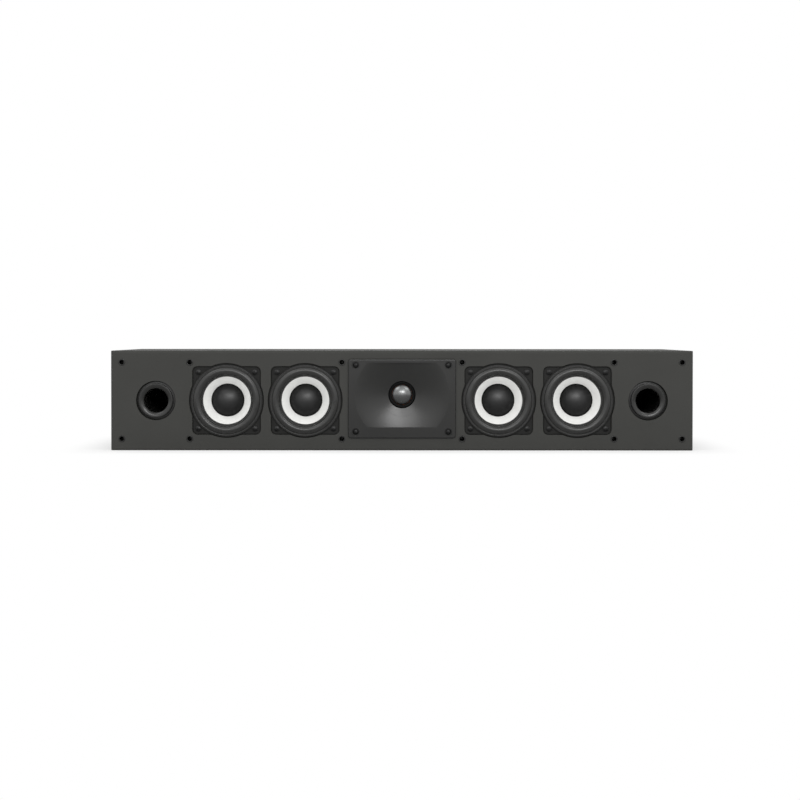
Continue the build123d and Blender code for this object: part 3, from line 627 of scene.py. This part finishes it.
def eased(points, size):
    """Closed profile with its sharp corners rounded."""
    out = []
    count = len(points)
    for i, point in enumerate(points):
        here = Vector(point)
        back = Vector(points[i - 1]) - here
        ahead = Vector(points[(i + 1) % count]) - here
        too_short = min(back.length, ahead.length) < size / 4
        if point[0] < ON_AXIS or too_short or back.angle(ahead) > NEARLY_STRAIGHT:
            out.append(point)
            continue
        start = here + back.normalized() * min(size, back.length * EASE_SHARE)
        end = here + ahead.normalized() * min(size, ahead.length * EASE_SHARE)
        for t in EASE_STEPS:
            curve = start * (1 - t) ** 2 + here * 2 * t * (1 - t) + end * t ** 2
            out.append((curve.x, curve.y))
    return out


def lathe(bm, profile, steps, place):
    """Turn a closed profile of radius and height about the axis of a place."""
    rings = []
    for radius, height in profile:
        if radius < ON_AXIS:
            rings.append([bm.verts.new(place @ Vector((0, 0, height)))])
            continue
        spokes = [FULL_TURN * i / steps for i in range(steps)]
        ring = [Vector((radius * math.cos(a), radius * math.sin(a), height)) for a in spokes]
        rings.append([bm.verts.new(place @ spot) for spot in ring])
    for first, second in zip(rings, rings[1:] + rings[:1]):
        if len(first) + len(second) == 2:
            continue
        for i in range(steps):
            j = i + 1
            loop = [first[i % len(first)], first[j % len(first)]]
            loop += [second[j % len(second)], second[i % len(second)]]
            bm.faces.new(dict.fromkeys(loop))


def carve(solid, cutter):
    """Mesh of a closed bmesh less another one."""
    tools = []
    for source in (solid, cutter):
        bmesh.ops.recalc_face_normals(source, faces=source.faces)
        mesh = bpy.data.meshes.new("tool")
        source.to_mesh(mesh)
        source.free()
        tool = bpy.data.objects.new("tool", mesh)
        bpy.context.scene.collection.objects.link(tool)
        tools.append(tool)
    cut = tools[0].modifiers.new("cut", "BOOLEAN")
    cut.object = tools[1]
    cut.operation = "DIFFERENCE"
    cut.solver = "EXACT"
    graph = bpy.context.evaluated_depsgraph_get()
    result = bpy.data.meshes.new_from_object(tools[0].evaluated_get(graph))
    for tool in tools:
        mesh = tool.data
        bpy.data.objects.remove(tool)
        bpy.data.meshes.remove(mesh)
    return result


def scatter(bm, mesh, places):
    """Copies of a mesh at several places."""
    for place in places:
        count = len(bm.verts)
        bm.from_mesh(mesh)
        bm.verts.ensure_lookup_table()
        bmesh.ops.transform(bm, matrix=place, verts=bm.verts[count:])


def new_piece(name, bm, slot, sharp=SHARP_DEGREES):
    """Object of a finished bmesh, smooth but for its sharp edges, with the finish of a slot."""
    bmesh.ops.recalc_face_normals(bm, faces=bm.faces)
    limit = math.radians(sharp)
    for face in bm.faces:
        face.smooth = True
    for edge in bm.edges:
        edge.smooth = edge.is_manifold and edge.calc_face_angle() < limit
    mesh = bpy.data.meshes.new(name)
    bm.to_mesh(mesh)
    bm.free()
    mesh.materials.append(finish_of(slot))
    piece = bpy.data.objects.new(name, mesh)
    bpy.context.scene.collection.objects.link(piece)
    return piece


# Cabinet and other nodes that keep their shape

class SPEAKER_OT_node_finishes(bpy.types.Operator):
    """Give every solid that keeps its shape the finish of its slot"""

    bl_idname = "speaker.node_finishes"
    bl_label = "Finish the solids"

    def execute(self, context):
        for node in NODES.values():
            for slot in node.material_slots:
                slot.material = finish_of(slot.material.name.split(".")[0])
        return {"FINISHED"}


# Woofers, drawn in millimetres from the baffle's face

LIP_R = 36.4
LIP_TOP = -0.8
BEAD_R = 35.55
BEAD_HALF = 0.45
BEAD_RISE = 0.3
BEAD_STEPS = 8
ROLL_MID_R = 30.4
ROLL_Z = -2.2
LEG_TOP = -3.1
LEG_LOW = -3.6
LEG_BACK = -3.8
FOOT_BEND = (0.1, 0.25)
FOOT_ROUND = 0.35
FOOT_EDGE = 0.2
CONE_RIM_R = 26.2
CONE_R = 24.4
CONE_Z = -5.0
NECK_R = 9.9
NECK_Z = -19.5
CONE_PAPER = 0.6
CONE_EASE = 0.15
CAP_R = 16.7
CAP_Z = -12.7
CAP_WALL = 0.6
CAP_SKIRT = 1.0
GLUE_OUT = 0.12
GLUE_R = 0.3
GLUE_DEGREES = 330
GLUE_STEPS = 11
ARC_STEPS = 28


def surround_profile(sizes):
    """Half-roll from the flange's seat to the cone's rim, with a moulded bead on its lip."""
    roll = sizes.roll_radius
    inner = roll - sizes.rubber
    lip_back = LIP_TOP - sizes.rubber
    foot = CONE_Z + sizes.rubber
    outer_angle = math.degrees(math.asin((LIP_TOP - ROLL_Z) / roll))
    inner_angle = math.degrees(math.asin((lip_back - ROLL_Z) / inner))
    bead = arc((BEAD_R, LIP_TOP), (BEAD_HALF, BEAD_RISE), 0, 180, BEAD_STEPS)
    return [
        (LIP_R, lip_back), (LIP_R, LIP_TOP), *bead,
        *arc((ROLL_MID_R, ROLL_Z), roll, outer_angle, 180, ARC_STEPS),
        (CONE_RIM_R, LEG_TOP), (CONE_RIM_R, LEG_LOW),
        (CONE_RIM_R - FOOT_BEND[0], foot + FOOT_BEND[1]), (CONE_RIM_R - FOOT_ROUND, foot),
        (CONE_R + FOOT_EDGE, foot), (CONE_R, foot - FOOT_EDGE), (CONE_R, CONE_Z),
        (CONE_RIM_R + sizes.rubber, CONE_Z), (CONE_RIM_R + sizes.rubber, LEG_BACK),
        *arc((ROLL_MID_R, ROLL_Z), inner, 180, inner_angle, ARC_STEPS),
    ]


class SPEAKER_OT_surrounds(bpy.types.Operator):
    """Rubber half-rolls from the flange's seat to the cone's rim"""

    bl_idname = "speaker.surrounds"
    bl_label = "Woofer surrounds"

    def execute(self, context):
        sizes = context.scene.speaker_sizes
        for n in WOOFERS:
            bm = bmesh.new()
            lathe(bm, surround_profile(sizes), sizes.round_steps, WOOFER_PLACE[n])
            piece = new_piece(f"woofer_{n}_rubber_roll", bm, "black_rubber")
            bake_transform(piece)
            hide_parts(f"woofer_{n}_surround")
        return {"FINISHED"}


SHELF_Z = -23.25
SPIDER_R = 26.4
SPIDER_WAVE_END = 20.0
SPIDER_WAVE_START = 11.0
SPIDER_COLLAR_R = 9.95
SPIDER_RISE = 2.0
SPIDER_WAVE = 0.55
SPIDER_WAVES = 3
SPIDER_CLOTH = 0.5
SPIDER_STEPS = 36


def spider_profile():
    """Cupped cloth disc: its rim lies on the basket's shelf and its waves climb to the coil's collar."""
    under = [(SPIDER_R, SHELF_Z), (SPIDER_WAVE_END, SHELF_Z)]
    for i in range(1, SPIDER_STEPS):
        inward = i / SPIDER_STEPS
        radius = SPIDER_WAVE_END + (SPIDER_WAVE_START - SPIDER_WAVE_END) * inward
        wave = SPIDER_WAVE * math.sin(FULL_TURN * SPIDER_WAVES * inward) * math.sin(math.pi * inward)
        climb = SPIDER_RISE * (1 - math.cos(math.pi * inward)) / 2
        under.append((radius, SHELF_Z + climb + wave))
    under += [(SPIDER_WAVE_START, SHELF_Z + SPIDER_RISE), (SPIDER_COLLAR_R, SHELF_Z + SPIDER_RISE)]
    return under + [(radius, z + SPIDER_CLOTH) for radius, z in reversed(under)]


class SPEAKER_OT_spiders(bpy.types.Operator):
    """Tan spiders from the basket's shelf up to the coil's collar"""

    bl_idname = "speaker.spiders"
    bl_label = "Woofer spiders"

    def execute(self, context):
        steps = context.scene.speaker_sizes.round_steps
        for n in WOOFERS:
            bm = bmesh.new()
            lathe(bm, spider_profile(), steps, WOOFER_PLACE[n])
            piece = new_piece(f"woofer_{n}_spider_disc", bm, "spider_cloth")
            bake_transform(piece)
            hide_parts(f"woofer_{n}_spider")
        return {"FINISHED"}


class SPEAKER_OT_cones(bpy.types.Operator):
    """White paper cones with a flat rim under the rubber"""

    bl_idname = "speaker.cones"
    bl_label = "Woofer cones"

    def execute(self, context):
        steps = context.scene.speaker_sizes.round_steps
        thick = CONE_PAPER * math.sqrt(2)
        profile = eased([
            (NECK_R, NECK_Z), (CONE_R, CONE_Z), (CONE_RIM_R, CONE_Z), (CONE_RIM_R, CONE_Z - CONE_PAPER),
            (CONE_R + thick - CONE_PAPER, CONE_Z - CONE_PAPER), (NECK_R, NECK_Z - thick),
        ], CONE_EASE)
        for n in WOOFERS:
            bm = bmesh.new()
            lathe(bm, profile, steps, WOOFER_PLACE[n])
            piece = new_piece(f"woofer_{n}_paper_cone", bm, "white_paper_cone")
            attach(piece, f"woofer_{n}_diaphragm")
            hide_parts(f"woofer_{n}_cone")
        return {"FINISHED"}


class SPEAKER_OT_dust_caps(bpy.types.Operator):
    """Domed caps with a fine bead of glue round the rim"""

    bl_idname = "speaker.dust_caps"
    bl_label = "Woofer dust caps"

    def execute(self, context):
        sizes = context.scene.speaker_sizes
        crest = CAP_Z + sizes.cap_rise
        skirt_r = CAP_R - CAP_SKIRT
        outside = dome_points(CAP_R, CAP_Z, crest, ARC_STEPS)
        inside = dome_points(skirt_r, CAP_Z - CAP_SKIRT, crest - CAP_WALL, ARC_STEPS // 2)
        bead = arc((CAP_R + GLUE_OUT, CAP_Z + GLUE_OUT), GLUE_R, 0, GLUE_DEGREES, GLUE_STEPS)
        for n in WOOFERS:
            bm = bmesh.new()
            lathe(bm, outside + inside[::-1], sizes.round_steps, WOOFER_PLACE[n])
            lathe(bm, bead, sizes.round_steps, WOOFER_PLACE[n])
            piece = new_piece(f"woofer_{n}_domed_cap", bm, "black_dust_cap")
            # Painted shade mask for the cap's shine: one on the axis, falling to none at the rim.
            coat = piece.data.attributes.new(PAINTED_RIM_SHADE_ATTRIBUTE, "FLOAT", "POINT")
            back = WOOFER_PLACE[n].inverted()
            for vert in piece.data.vertices:
                spot = back @ vert.co
                coat.data[vert.index].value = max(0.0, 1 - (math.hypot(spot.x, spot.y) / CAP_R) ** 2)
            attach(piece, f"woofer_{n}_diaphragm")
            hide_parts(f"woofer_{n}_dust_cap")
        return {"FINISHED"}


# Tweeter, drawn from the horn's axis

DOME_R = 10.2
DOME_Z = -7.5
DOME_WALL = 0.4
ROLL_START = 11.1
ROLL_END = 13.7
ROLL_RISE = 1.1
RING_R = 17.0
SILK = 0.5
SILK_R = 10.3
MOUTH_R = 48.25
THROAT_R = 14.0
MOUTH_Z = 1.5
HORN_DEPTH = 6.5
HORN_CURVE = 1.4
SEAM_TOP = -3.0
SEAM_BACK = -3.5
SEAM_R = 27.9
SEAM_STEPS = 6


def horn_radius(z):
    """Radius of the horn's wall at a depth behind the baffle's face."""
    inward = ((MOUTH_Z - z) / HORN_DEPTH) ** (1 / HORN_CURVE)
    return MOUTH_R + (THROAT_R - MOUTH_R) * inward


class SPEAKER_OT_tweeter(bpy.types.Operator):
    """Metal dome, the lacquered silk roll around it and the web behind the horn's plate"""

    bl_idname = "speaker.tweeter"
    bl_label = "Tweeter dome"

    def execute(self, context):
        sizes = context.scene.speaker_sizes
        crest = DOME_Z + sizes.dome_rise
        outside = dome_points(DOME_R, DOME_Z, crest, ARC_STEPS)
        inside = dome_points(DOME_R - DOME_WALL, DOME_Z, crest - DOME_WALL, ARC_STEPS // 2)
        bm = bmesh.new()
        lathe(bm, outside + inside[::-1], sizes.round_steps, TWEETER_PLACE)
        dome = new_piece("tweeter_metal_dome", bm, "silver_dome")
        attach(dome, "tweeter_diaphragm")
        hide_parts("tweeter_dome")

        half = (ROLL_END - ROLL_START) / 2
        centre = ROLL_START + half
        back = DOME_Z - SILK
        profile = [
            (SILK_R, back), (SILK_R, DOME_Z),
            *arc((centre, DOME_Z), (half, ROLL_RISE), 180, 0, ARC_STEPS),
            (RING_R, DOME_Z), (RING_R, back),
            *arc((centre, back), (half, ROLL_RISE), 0, 180, ARC_STEPS),
        ]
        bm = bmesh.new()
        lathe(bm, profile, sizes.round_steps, TWEETER_PLACE)
        roll = new_piece("tweeter_silk_roll", bm, "dome_cloth")
        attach(roll, "cabinet")
        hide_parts("tweeter_surround")

        wall = [SEAM_BACK + (SEAM_TOP - SEAM_BACK) * i / SEAM_STEPS for i in range(SEAM_STEPS + 1)]
        profile = [(horn_radius(z), z) for z in wall] + [(SEAM_R, SEAM_TOP), (SEAM_R, SEAM_BACK)]
        bm = bmesh.new()
        lathe(bm, profile, sizes.round_steps, TWEETER_PLACE)
        seam = new_piece("waveguide_throat_web", bm, "black_moulding")
        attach(seam, "cabinet")
        return {"FINISHED"}


# Ports and peg sockets: radius and height of their corners, in millimetres from the baffle's face

PORT_PROFILE = [
    *arc((16.6, -2.2), (4.3, 2.5), 90, 180, 24),
    *arc((15.0, -87.0), (2.7, 5.0), 180, 270, 8),
    (17.0, -92.0), (17.0, -90.0), (14.3, -87.0), (14.3, -8.0), (15.8, -6.0), (19.4, -6.0), (19.4, -4.0),
    (17.4, -4.0), (17.4, -0.1), (17.0, 0.3),
]
PEG_PROFILE = [
    (0.0, -13.0), (3.0, -13.0), (3.0, 0.0), (3.6, 0.0), (3.35, 0.5), (2.5, 0.5), (2.4, 0.2), (2.4, -0.4),
    (2.8, -0.9), (2.8, -8.5), (0.0, -11.8),
]
PORT_EASE = 0.25
PEG_EASE = 0.15
PEG_STEPS = 48


class SPEAKER_OT_ports(bpy.types.Operator):
    """Flared bass ports"""

    bl_idname = "speaker.ports"
    bl_label = "Bass ports"

    def execute(self, context):
        steps = context.scene.speaker_sizes.round_steps
        for side in SIDES:
            bm = bmesh.new()
            lathe(bm, eased(PORT_PROFILE, PORT_EASE), steps, PORT_PLACE[side])
            piece = new_piece(f"port_{side}_flared_tube", bm, "black_moulding")
            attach(piece, "cabinet")
            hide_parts(f"port_{side}")
        return {"FINISHED"}


class SPEAKER_OT_peg_sockets(bpy.types.Operator):
    """Blind sockets for the grille's pegs"""

    bl_idname = "speaker.peg_sockets"
    bl_label = "Grille peg sockets"

    def execute(self, context):
        bm = bmesh.new()
        for place in peg_places():
            lathe(bm, eased(PEG_PROFILE, PEG_EASE), PEG_STEPS, place)
        piece = new_piece("peg_socket_bushes", bm, "black_moulding")
        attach(piece, "cabinet")
        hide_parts("peg_sockets")
        return {"FINISHED"}


# Screws, drawn from the underside of the head

SCREW_R = 1.75
SCREW_LENGTH = 11.0
HEAD_R = 2.8
HEAD = 1.6
SCREW_STEPS = 40
HEAD_STEPS = 8
SLOT_HALF_LENGTH = 1.7
SLOT_HALF_WIDTH = 0.42
SLOT_DEPTH = 1.1
SLOT_TAPER = (0.55, 0.75)
SLOT_OVER = 1.0
WOOFER_SINK = 1.8
PLATE_SINK = 1.9
CUP_PLATE = 2.5
WOOFER_SCREW = 28.9
PLATE_SCREW = (47.3, 34.1)
CUP_SCREW = (44.5, 32.5)
SCREW_TURN = math.radians(37)


def screw_mesh():
    """Pan-head screw with a cross recess."""
    head_edge = HEAD / 2
    profile = [
        (0, -SCREW_LENGTH), (SCREW_R, -SCREW_LENGTH + SCREW_R), (SCREW_R, 0),
        (HEAD_R, 0), (HEAD_R, head_edge),
        *dome_points(HEAD_R, head_edge, HEAD, HEAD_STEPS)[1:],
    ]
    solid = bmesh.new()
    lathe(solid, profile, SCREW_STEPS, Matrix.Identity(4))
    cutter = bmesh.new()
    foot = HEAD - SLOT_DEPTH
    half_length = SLOT_HALF_LENGTH
    half_width = SLOT_HALF_WIDTH
    outline = [
        (half_length, half_width), (half_width, half_width), (half_width, half_length),
        (-half_width, half_length), (-half_width, half_width), (-half_length, half_width),
        (-half_length, -half_width), (-half_width, -half_width), (-half_width, -half_length),
        (half_width, -half_length), (half_width, -half_width), (half_length, -half_width),
    ]
    top = [cutter.verts.new((x, y, HEAD + SLOT_OVER)) for x, y in outline]
    low = [cutter.verts.new((x * SLOT_TAPER[0], y * SLOT_TAPER[1], foot)) for x, y in outline]
    cutter.faces.new(top)
    cutter.faces.new(low[::-1])
    for i in range(len(outline)):
        cutter.faces.new((top[i - 1], top[i], low[i], low[i - 1]))
    return carve(solid, cutter)


def screw_places(base, half_x, half_y, height):
    """Four screws in a rectangle, each turned to another angle."""
    spots = [(sx * half_x, sy * half_y) for sx in (-1, 1) for sy in (-1, 1)]
    return [
        base @ Matrix.Translation((x, y, height)) @ Matrix.Rotation(SCREW_TURN * (i + x), 4, "Z")
        for i, (x, y) in enumerate(spots)
    ]


class SPEAKER_OT_screws(bpy.types.Operator):
    """Cross-head screws of the woofers, the waveguide and the terminal cup"""

    bl_idname = "speaker.screws"
    bl_label = "Screws"

    def execute(self, context):
        mesh = screw_mesh()
        woofer_places = [
            place for n in WOOFERS
            for place in screw_places(WOOFER_PLACE[n], WOOFER_SCREW, WOOFER_SCREW, -WOOFER_SINK)
        ]
        groups = {
            "woofer": woofer_places,
            "waveguide": screw_places(PLATE_PLACE, *PLATE_SCREW, -PLATE_SINK),
            "terminal_cup": screw_places(CUP_PLACE, *CUP_SCREW, CUP_PLATE),
        }
        for word, places in groups.items():
            bm = bmesh.new()
            scatter(bm, mesh, places)
            piece = new_piece(f"{word}_cross_screws", bm, "black_screw")
            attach(piece, "cabinet")
            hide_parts(f"{word}_screws")
        bpy.data.meshes.remove(mesh)
        return {"FINISHED"}


# Binding post studs with a cut thread

STUD_R = 3.0
STUD_FOOT = -30.8
STUD_END = -8.0
THREAD_PITCH = 1.0
THREAD_DEPTH = 0.45
SOCKET_R = 2.05
SOCKET_DEPTH = 9.0
WIRE_HOLE_R = 1.2
WIRE_HOLE_Z = -18.4
POST_X = 9.525
THREAD_RINGS = 8
STUD_STEPS = 48
DRILL_STEPS = 24
STUD_SHARP_DEGREES = 50.0


class SPEAKER_OT_studs(bpy.types.Operator):
    """Threaded studs with a socket for a plug and a cross hole for a bare wire"""

    bl_idname = "speaker.studs"
    bl_label = "Binding post studs"

    def execute(self, context):
        bm = bmesh.new()
        rings = int((STUD_END - STUD_FOOT) / THREAD_PITCH * THREAD_RINGS)
        side = [(STUD_R, STUD_FOOT + (STUD_END - STUD_FOOT) * i / rings) for i in range(rings + 1)]
        floor = STUD_END - SOCKET_DEPTH
        profile = [(0, STUD_FOOT), *side, (SOCKET_R, STUD_END), (SOCKET_R, floor), (0, floor)]
        for x in (-POST_X, POST_X):
            part = bmesh.new()
            lathe(part, profile, STUD_STEPS, Matrix.Identity(4))
            for vert in part.verts:
                radius = math.hypot(vert.co.x, vert.co.y)
                if radius < STUD_R - ON_AXIS:
                    continue
                phase = (vert.co.z / THREAD_PITCH - math.atan2(vert.co.y, vert.co.x) / FULL_TURN) % 1
                cut = THREAD_DEPTH * abs(2 * phase - 1)
                vert.co.x *= 1 - cut / STUD_R
                vert.co.y *= 1 - cut / STUD_R
            drill = bmesh.new()
            across = Matrix.Translation((0, 0, WIRE_HOLE_Z)) @ Matrix.Rotation(math.pi / 2, 4, "Y")
            reach = 2 * STUD_R
            hole = [(0, -reach), (WIRE_HOLE_R, -reach), (WIRE_HOLE_R, reach), (0, reach)]
            lathe(drill, hole, DRILL_STEPS, across)
            mesh = carve(part, drill)
            scatter(bm, mesh, [CUP_PLACE @ Matrix.Translation((x, 0, 0))])
            bpy.data.meshes.remove(mesh)
        piece = new_piece("binding_post_threaded_studs", bm, "brass", sharp=STUD_SHARP_DEGREES)
        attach(piece, "cabinet")
        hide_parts("binding_post_studs")
        return {"FINISHED"}


# Damping wadding

FLUFF_DEPTH = 3.0
FLUFF_SIZE = 22.0
CORNER_POWER = 5.0
PAD_CUTS = 23
PAD_SHARP_DEGREES = 80.0


class SPEAKER_OT_wadding(bpy.types.Operator):
    """Lumpy fibre pads inside the cabinet"""

    bl_idname = "speaker.wadding"
    bl_label = "Damping wadding"

    def execute(self, context):
        for side in SIDES:
            low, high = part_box(f"wadding_{side}")
            centre = (low + high) / 2
            half = (high - low) / 2
            bm = bmesh.new()
            bmesh.ops.create_cube(bm, size=2.0)
            bmesh.ops.subdivide_edges(bm, edges=bm.edges, cuts=PAD_CUTS, use_grid_fill=True)
            for vert in bm.verts:
                spread = sum(abs(c) ** CORNER_POWER for c in vert.co) ** (1 / CORNER_POWER)
                share = vert.co / spread
                spot = centre + Vector((share.x * half.x, share.y * half.y, share.z * half.z))
                lump = FLUFF_DEPTH * MM * (0.5 + 0.5 * noise.noise(spot / (FLUFF_SIZE * MM)))
                vert.co = spot - (spot - centre).normalized() * lump
            piece = new_piece(f"wadding_{side}_fibre_pad", bm, "wadding_fibre", sharp=PAD_SHARP_DEGREES)
            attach(piece, "cabinet")
            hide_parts(f"wadding_{side}")
        return {"FINISHED"}


# Studio

FLOOR_HALF = 6.0
SHADOW_REACH = 0.06
SHADOW_SHARE = 0.55
KEY_PLACE = (0.40, -2.2, 0.94)
KEY_SIZE = (0.8, 0.5)
FILL_PLACE = (-0.38, -2.2, 0.94)
FILL_SIZE = (0.76, 0.5)
LEFT_PLACE = (-1.0, -0.76, 1.39)
RIGHT_PLACE = (1.0, -0.76, 1.39)
SIDE_SIZE = (0.8, 0.8)
CARD_NEAR = -0.09
CARD_FAR = -3.5
CARD_HALF = 2.5
CARD_Z = 0.002
CARD_ROUGHNESS = 0.9
WHITE = (1, 1, 1, 1)
PAPER = (0.9, 0.9, 0.9, 1)
SENSOR = 36.0
CLIP_START = 0.01
CLIP_END = 50.0


def light_path_seen(tree):
    """One for rays that should see the white background: camera, glossy and transmission rays."""
    path = add(tree, "ShaderNodeLightPath")
    seen = add(tree, "ShaderNodeMath", {"operation": "MAXIMUM"}, {
        0: path.outputs["Is Camera Ray"], 1: path.outputs["Is Glossy Ray"],
    })
    both = add(tree, "ShaderNodeMath", {"operation": "MAXIMUM"}, {
        0: seen.outputs[0], 1: path.outputs["Is Transmission Ray"],
    })
    return both.outputs[0]


def white_floor():
    # Matt white sweep: the background's white away from the object, with its soft shadow near it.
    made = bpy.data.materials.new("Paper_white_sweep")
    made.use_nodes = True
    tree = made.node_tree
    tree.nodes.clear()
    place = add(tree, "ShaderNodeTexCoord").outputs["Object"]
    reach = add(tree, "ShaderNodeVectorMath", {"operation": "ABSOLUTE"}, {0: place})
    past = add(tree, "ShaderNodeVectorMath", {"operation": "SUBTRACT"}, {
        0: reach.outputs[0], 1: (CAD_HIGH.x, CAD_HIGH.y, 0),
    })
    outside = add(tree, "ShaderNodeVectorMath", {"operation": "MAXIMUM"}, {
        0: past.outputs[0], 1: (0, 0, 0),
    })
    distance = add(tree, "ShaderNodeVectorMath", {"operation": "LENGTH"}, {0: outside.outputs[0]})
    share = add(tree, "ShaderNodeMapRange", {"interpolation_type": "SMOOTHSTEP"}, {
        "Value": distance.outputs["Value"], "From Min": 0.0, "From Max": SHADOW_REACH,
        "To Min": 1 - SHADOW_SHARE, "To Max": 1.0,
    })
    seen = add(tree, "ShaderNodeMath", {"operation": "MULTIPLY"}, {
        0: light_path_seen(tree), 1: share.outputs[0],
    })
    paper = add(tree, "ShaderNodeBsdfDiffuse", inputs={"Color": PAPER})
    white = add(tree, "ShaderNodeEmission", inputs={"Color": WHITE, "Strength": 1.0})
    mix = add(tree, "ShaderNodeMixShader", inputs={
        0: seen.outputs[0], 1: paper.outputs[0], 2: white.outputs[0],
    })
    add(tree, "ShaderNodeOutputMaterial", inputs={"Surface": mix.outputs[0]})
    return made


def stage_sheet(name, corners, material):
    """Flat sheet of the studio."""
    mesh = bpy.data.meshes.new(name)
    mesh.from_pydata(corners, [], [(0, 1, 2, 3)])
    mesh.materials.append(material)
    sheet = bpy.data.objects.new(name, mesh)
    bpy.context.scene.collection.objects.link(sheet)
    return sheet


def grey_card():
    # Grey card on the table before the speaker: only reflections see it, so glossy black stays deep.
    made = bpy.data.materials.new("Card_grey_matt")
    made.use_nodes = True
    shader = made.node_tree.nodes["Principled BSDF"]
    shader.inputs["Base Color"].default_value = opaque(linear("9a9a9a"))
    shader.inputs["Roughness"].default_value = CARD_ROUGHNESS
    shader.inputs["Specular IOR Level"].default_value = 0.0
    return made


def soft_box(name, power, place, size):
    """Area lamp turned to the middle of the baffle."""
    lamp = bpy.data.lights.new(name, "AREA")
    lamp.shape = "RECTANGLE"
    lamp.size, lamp.size_y = size
    lamp.energy = power
    item = bpy.data.objects.new(name, lamp)
    item.location = place
    target = Vector((0, FRONT_Y, CAD_HIGH.z / 2))
    item.rotation_mode = "QUATERNION"
    item.rotation_quaternion = (target - Vector(place)).to_track_quat("-Z", "Y")
    item.visible_camera = False
    bpy.context.scene.collection.objects.link(item)


class SPEAKER_OT_studio(bpy.types.Operator):
    """White sweep, soft boxes, room light and the camera"""

    bl_idname = "speaker.studio"
    bl_label = "Studio"

    def execute(self, context):
        scene = context.scene
        look = scene.speaker_studio
        scene.view_settings.view_transform = "Standard"

        stage_sheet("floor", [
            (-FLOOR_HALF, -FLOOR_HALF, 0), (FLOOR_HALF, -FLOOR_HALF, 0),
            (FLOOR_HALF, FLOOR_HALF, 0), (-FLOOR_HALF, FLOOR_HALF, 0),
        ], white_floor())
        card = stage_sheet("grey_card", [
            (-CARD_HALF, CARD_FAR, CARD_Z), (CARD_HALF, CARD_FAR, CARD_Z),
            (CARD_HALF, CARD_NEAR, CARD_Z), (-CARD_HALF, CARD_NEAR, CARD_Z),
        ], grey_card())
        card.visible_camera = False
        card.visible_diffuse = False
        card.visible_shadow = False

        soft_box("key_soft_box", look.key_power, KEY_PLACE, KEY_SIZE)
        soft_box("fill_soft_box", look.fill_power, FILL_PLACE, FILL_SIZE)
        soft_box("left_soft_box", look.left_power, LEFT_PLACE, SIDE_SIZE)
        soft_box("right_soft_box", look.right_power, RIGHT_PLACE, SIDE_SIZE)

        world = bpy.data.worlds.new("studio_room")
        world.use_nodes = True
        tree = world.node_tree
        tree.nodes.clear()
        room = add(tree, "ShaderNodeBackground", inputs={"Color": WHITE, "Strength": look.room_light})
        white = add(tree, "ShaderNodeBackground", inputs={"Color": WHITE, "Strength": 1.0})
        mix = add(tree, "ShaderNodeMixShader", inputs={
            0: light_path_seen(tree), 1: room.outputs[0], 2: white.outputs[0],
        })
        add(tree, "ShaderNodeOutputWorld", inputs={"Surface": mix.outputs[0]})
        scene.world = world

        lens = bpy.data.cameras.new("photo_camera")
        lens.sensor_width = SENSOR
        lens.lens = look.lens
        lens.shift_x = look.shift_x
        lens.shift_y = look.shift_y
        lens.clip_start = CLIP_START
        lens.clip_end = CLIP_END
        camera = bpy.data.objects.new("photo_camera", lens)
        camera.location = (look.camera_side, FRONT_Y - look.camera_distance, look.camera_height)
        camera.rotation_euler = (math.pi / 2 - look.camera_pitch, look.camera_roll, 0)
        scene.collection.objects.link(camera)
        scene.camera = camera
        return {"FINISHED"}


# Panel and registration

STEPS = (
    SPEAKER_OT_studio,
    SPEAKER_OT_node_finishes,
    SPEAKER_OT_surrounds,
    SPEAKER_OT_spiders,
    SPEAKER_OT_cones,
    SPEAKER_OT_dust_caps,
    SPEAKER_OT_tweeter,
    SPEAKER_OT_ports,
    SPEAKER_OT_peg_sockets,
    SPEAKER_OT_screws,
    SPEAKER_OT_studs,
    SPEAKER_OT_wadding,
)


class SPEAKER_PT_panel(bpy.types.Panel):
    """Colours, sizes and steps of the speaker"""

    bl_idname = "SPEAKER_PT_panel"
    bl_label = "Center channel speaker"
    bl_space_type = "VIEW_3D"
    bl_region_type = "UI"
    bl_category = "Speaker"

    def draw(self, context):
        scene = context.scene
        for group in (scene.speaker_colours, scene.speaker_sizes, scene.speaker_studio):
            box = self.layout.box()
            for name in group.bl_rna.properties.keys():
                if name not in {"rna_type", "name"}:
                    box.prop(group, name)
        for step in STEPS:
            self.layout.operator(step.bl_idname)


GROUPS = {
    "speaker_colours": SpeakerColours,
    "speaker_sizes": SpeakerSizes,
    "speaker_studio": SpeakerStudio,
}


def register():
    for kind in (*GROUPS.values(), *STEPS, SPEAKER_PT_panel):
        bpy.utils.register_class(kind)
    for name, kind in GROUPS.items():
        setattr(bpy.types.Scene, name, bpy.props.PointerProperty(type=kind))


def unregister():
    for name in GROUPS:
        delattr(bpy.types.Scene, name)
    for kind in (SPEAKER_PT_panel, *reversed(STEPS), *GROUPS.values()):
        bpy.utils.unregister_class(kind)


def main():
    register()
    bpy.ops.speaker.studio()
    bpy.ops.speaker.node_finishes()
    bpy.ops.speaker.surrounds()
    bpy.ops.speaker.spiders()
    bpy.ops.speaker.cones()
    bpy.ops.speaker.dust_caps()
    bpy.ops.speaker.tweeter()
    bpy.ops.speaker.ports()
    bpy.ops.speaker.peg_sockets()
    bpy.ops.speaker.screws()
    bpy.ops.speaker.studs()
    bpy.ops.speaker.wadding()


if __name__ == "__main__":
    main()
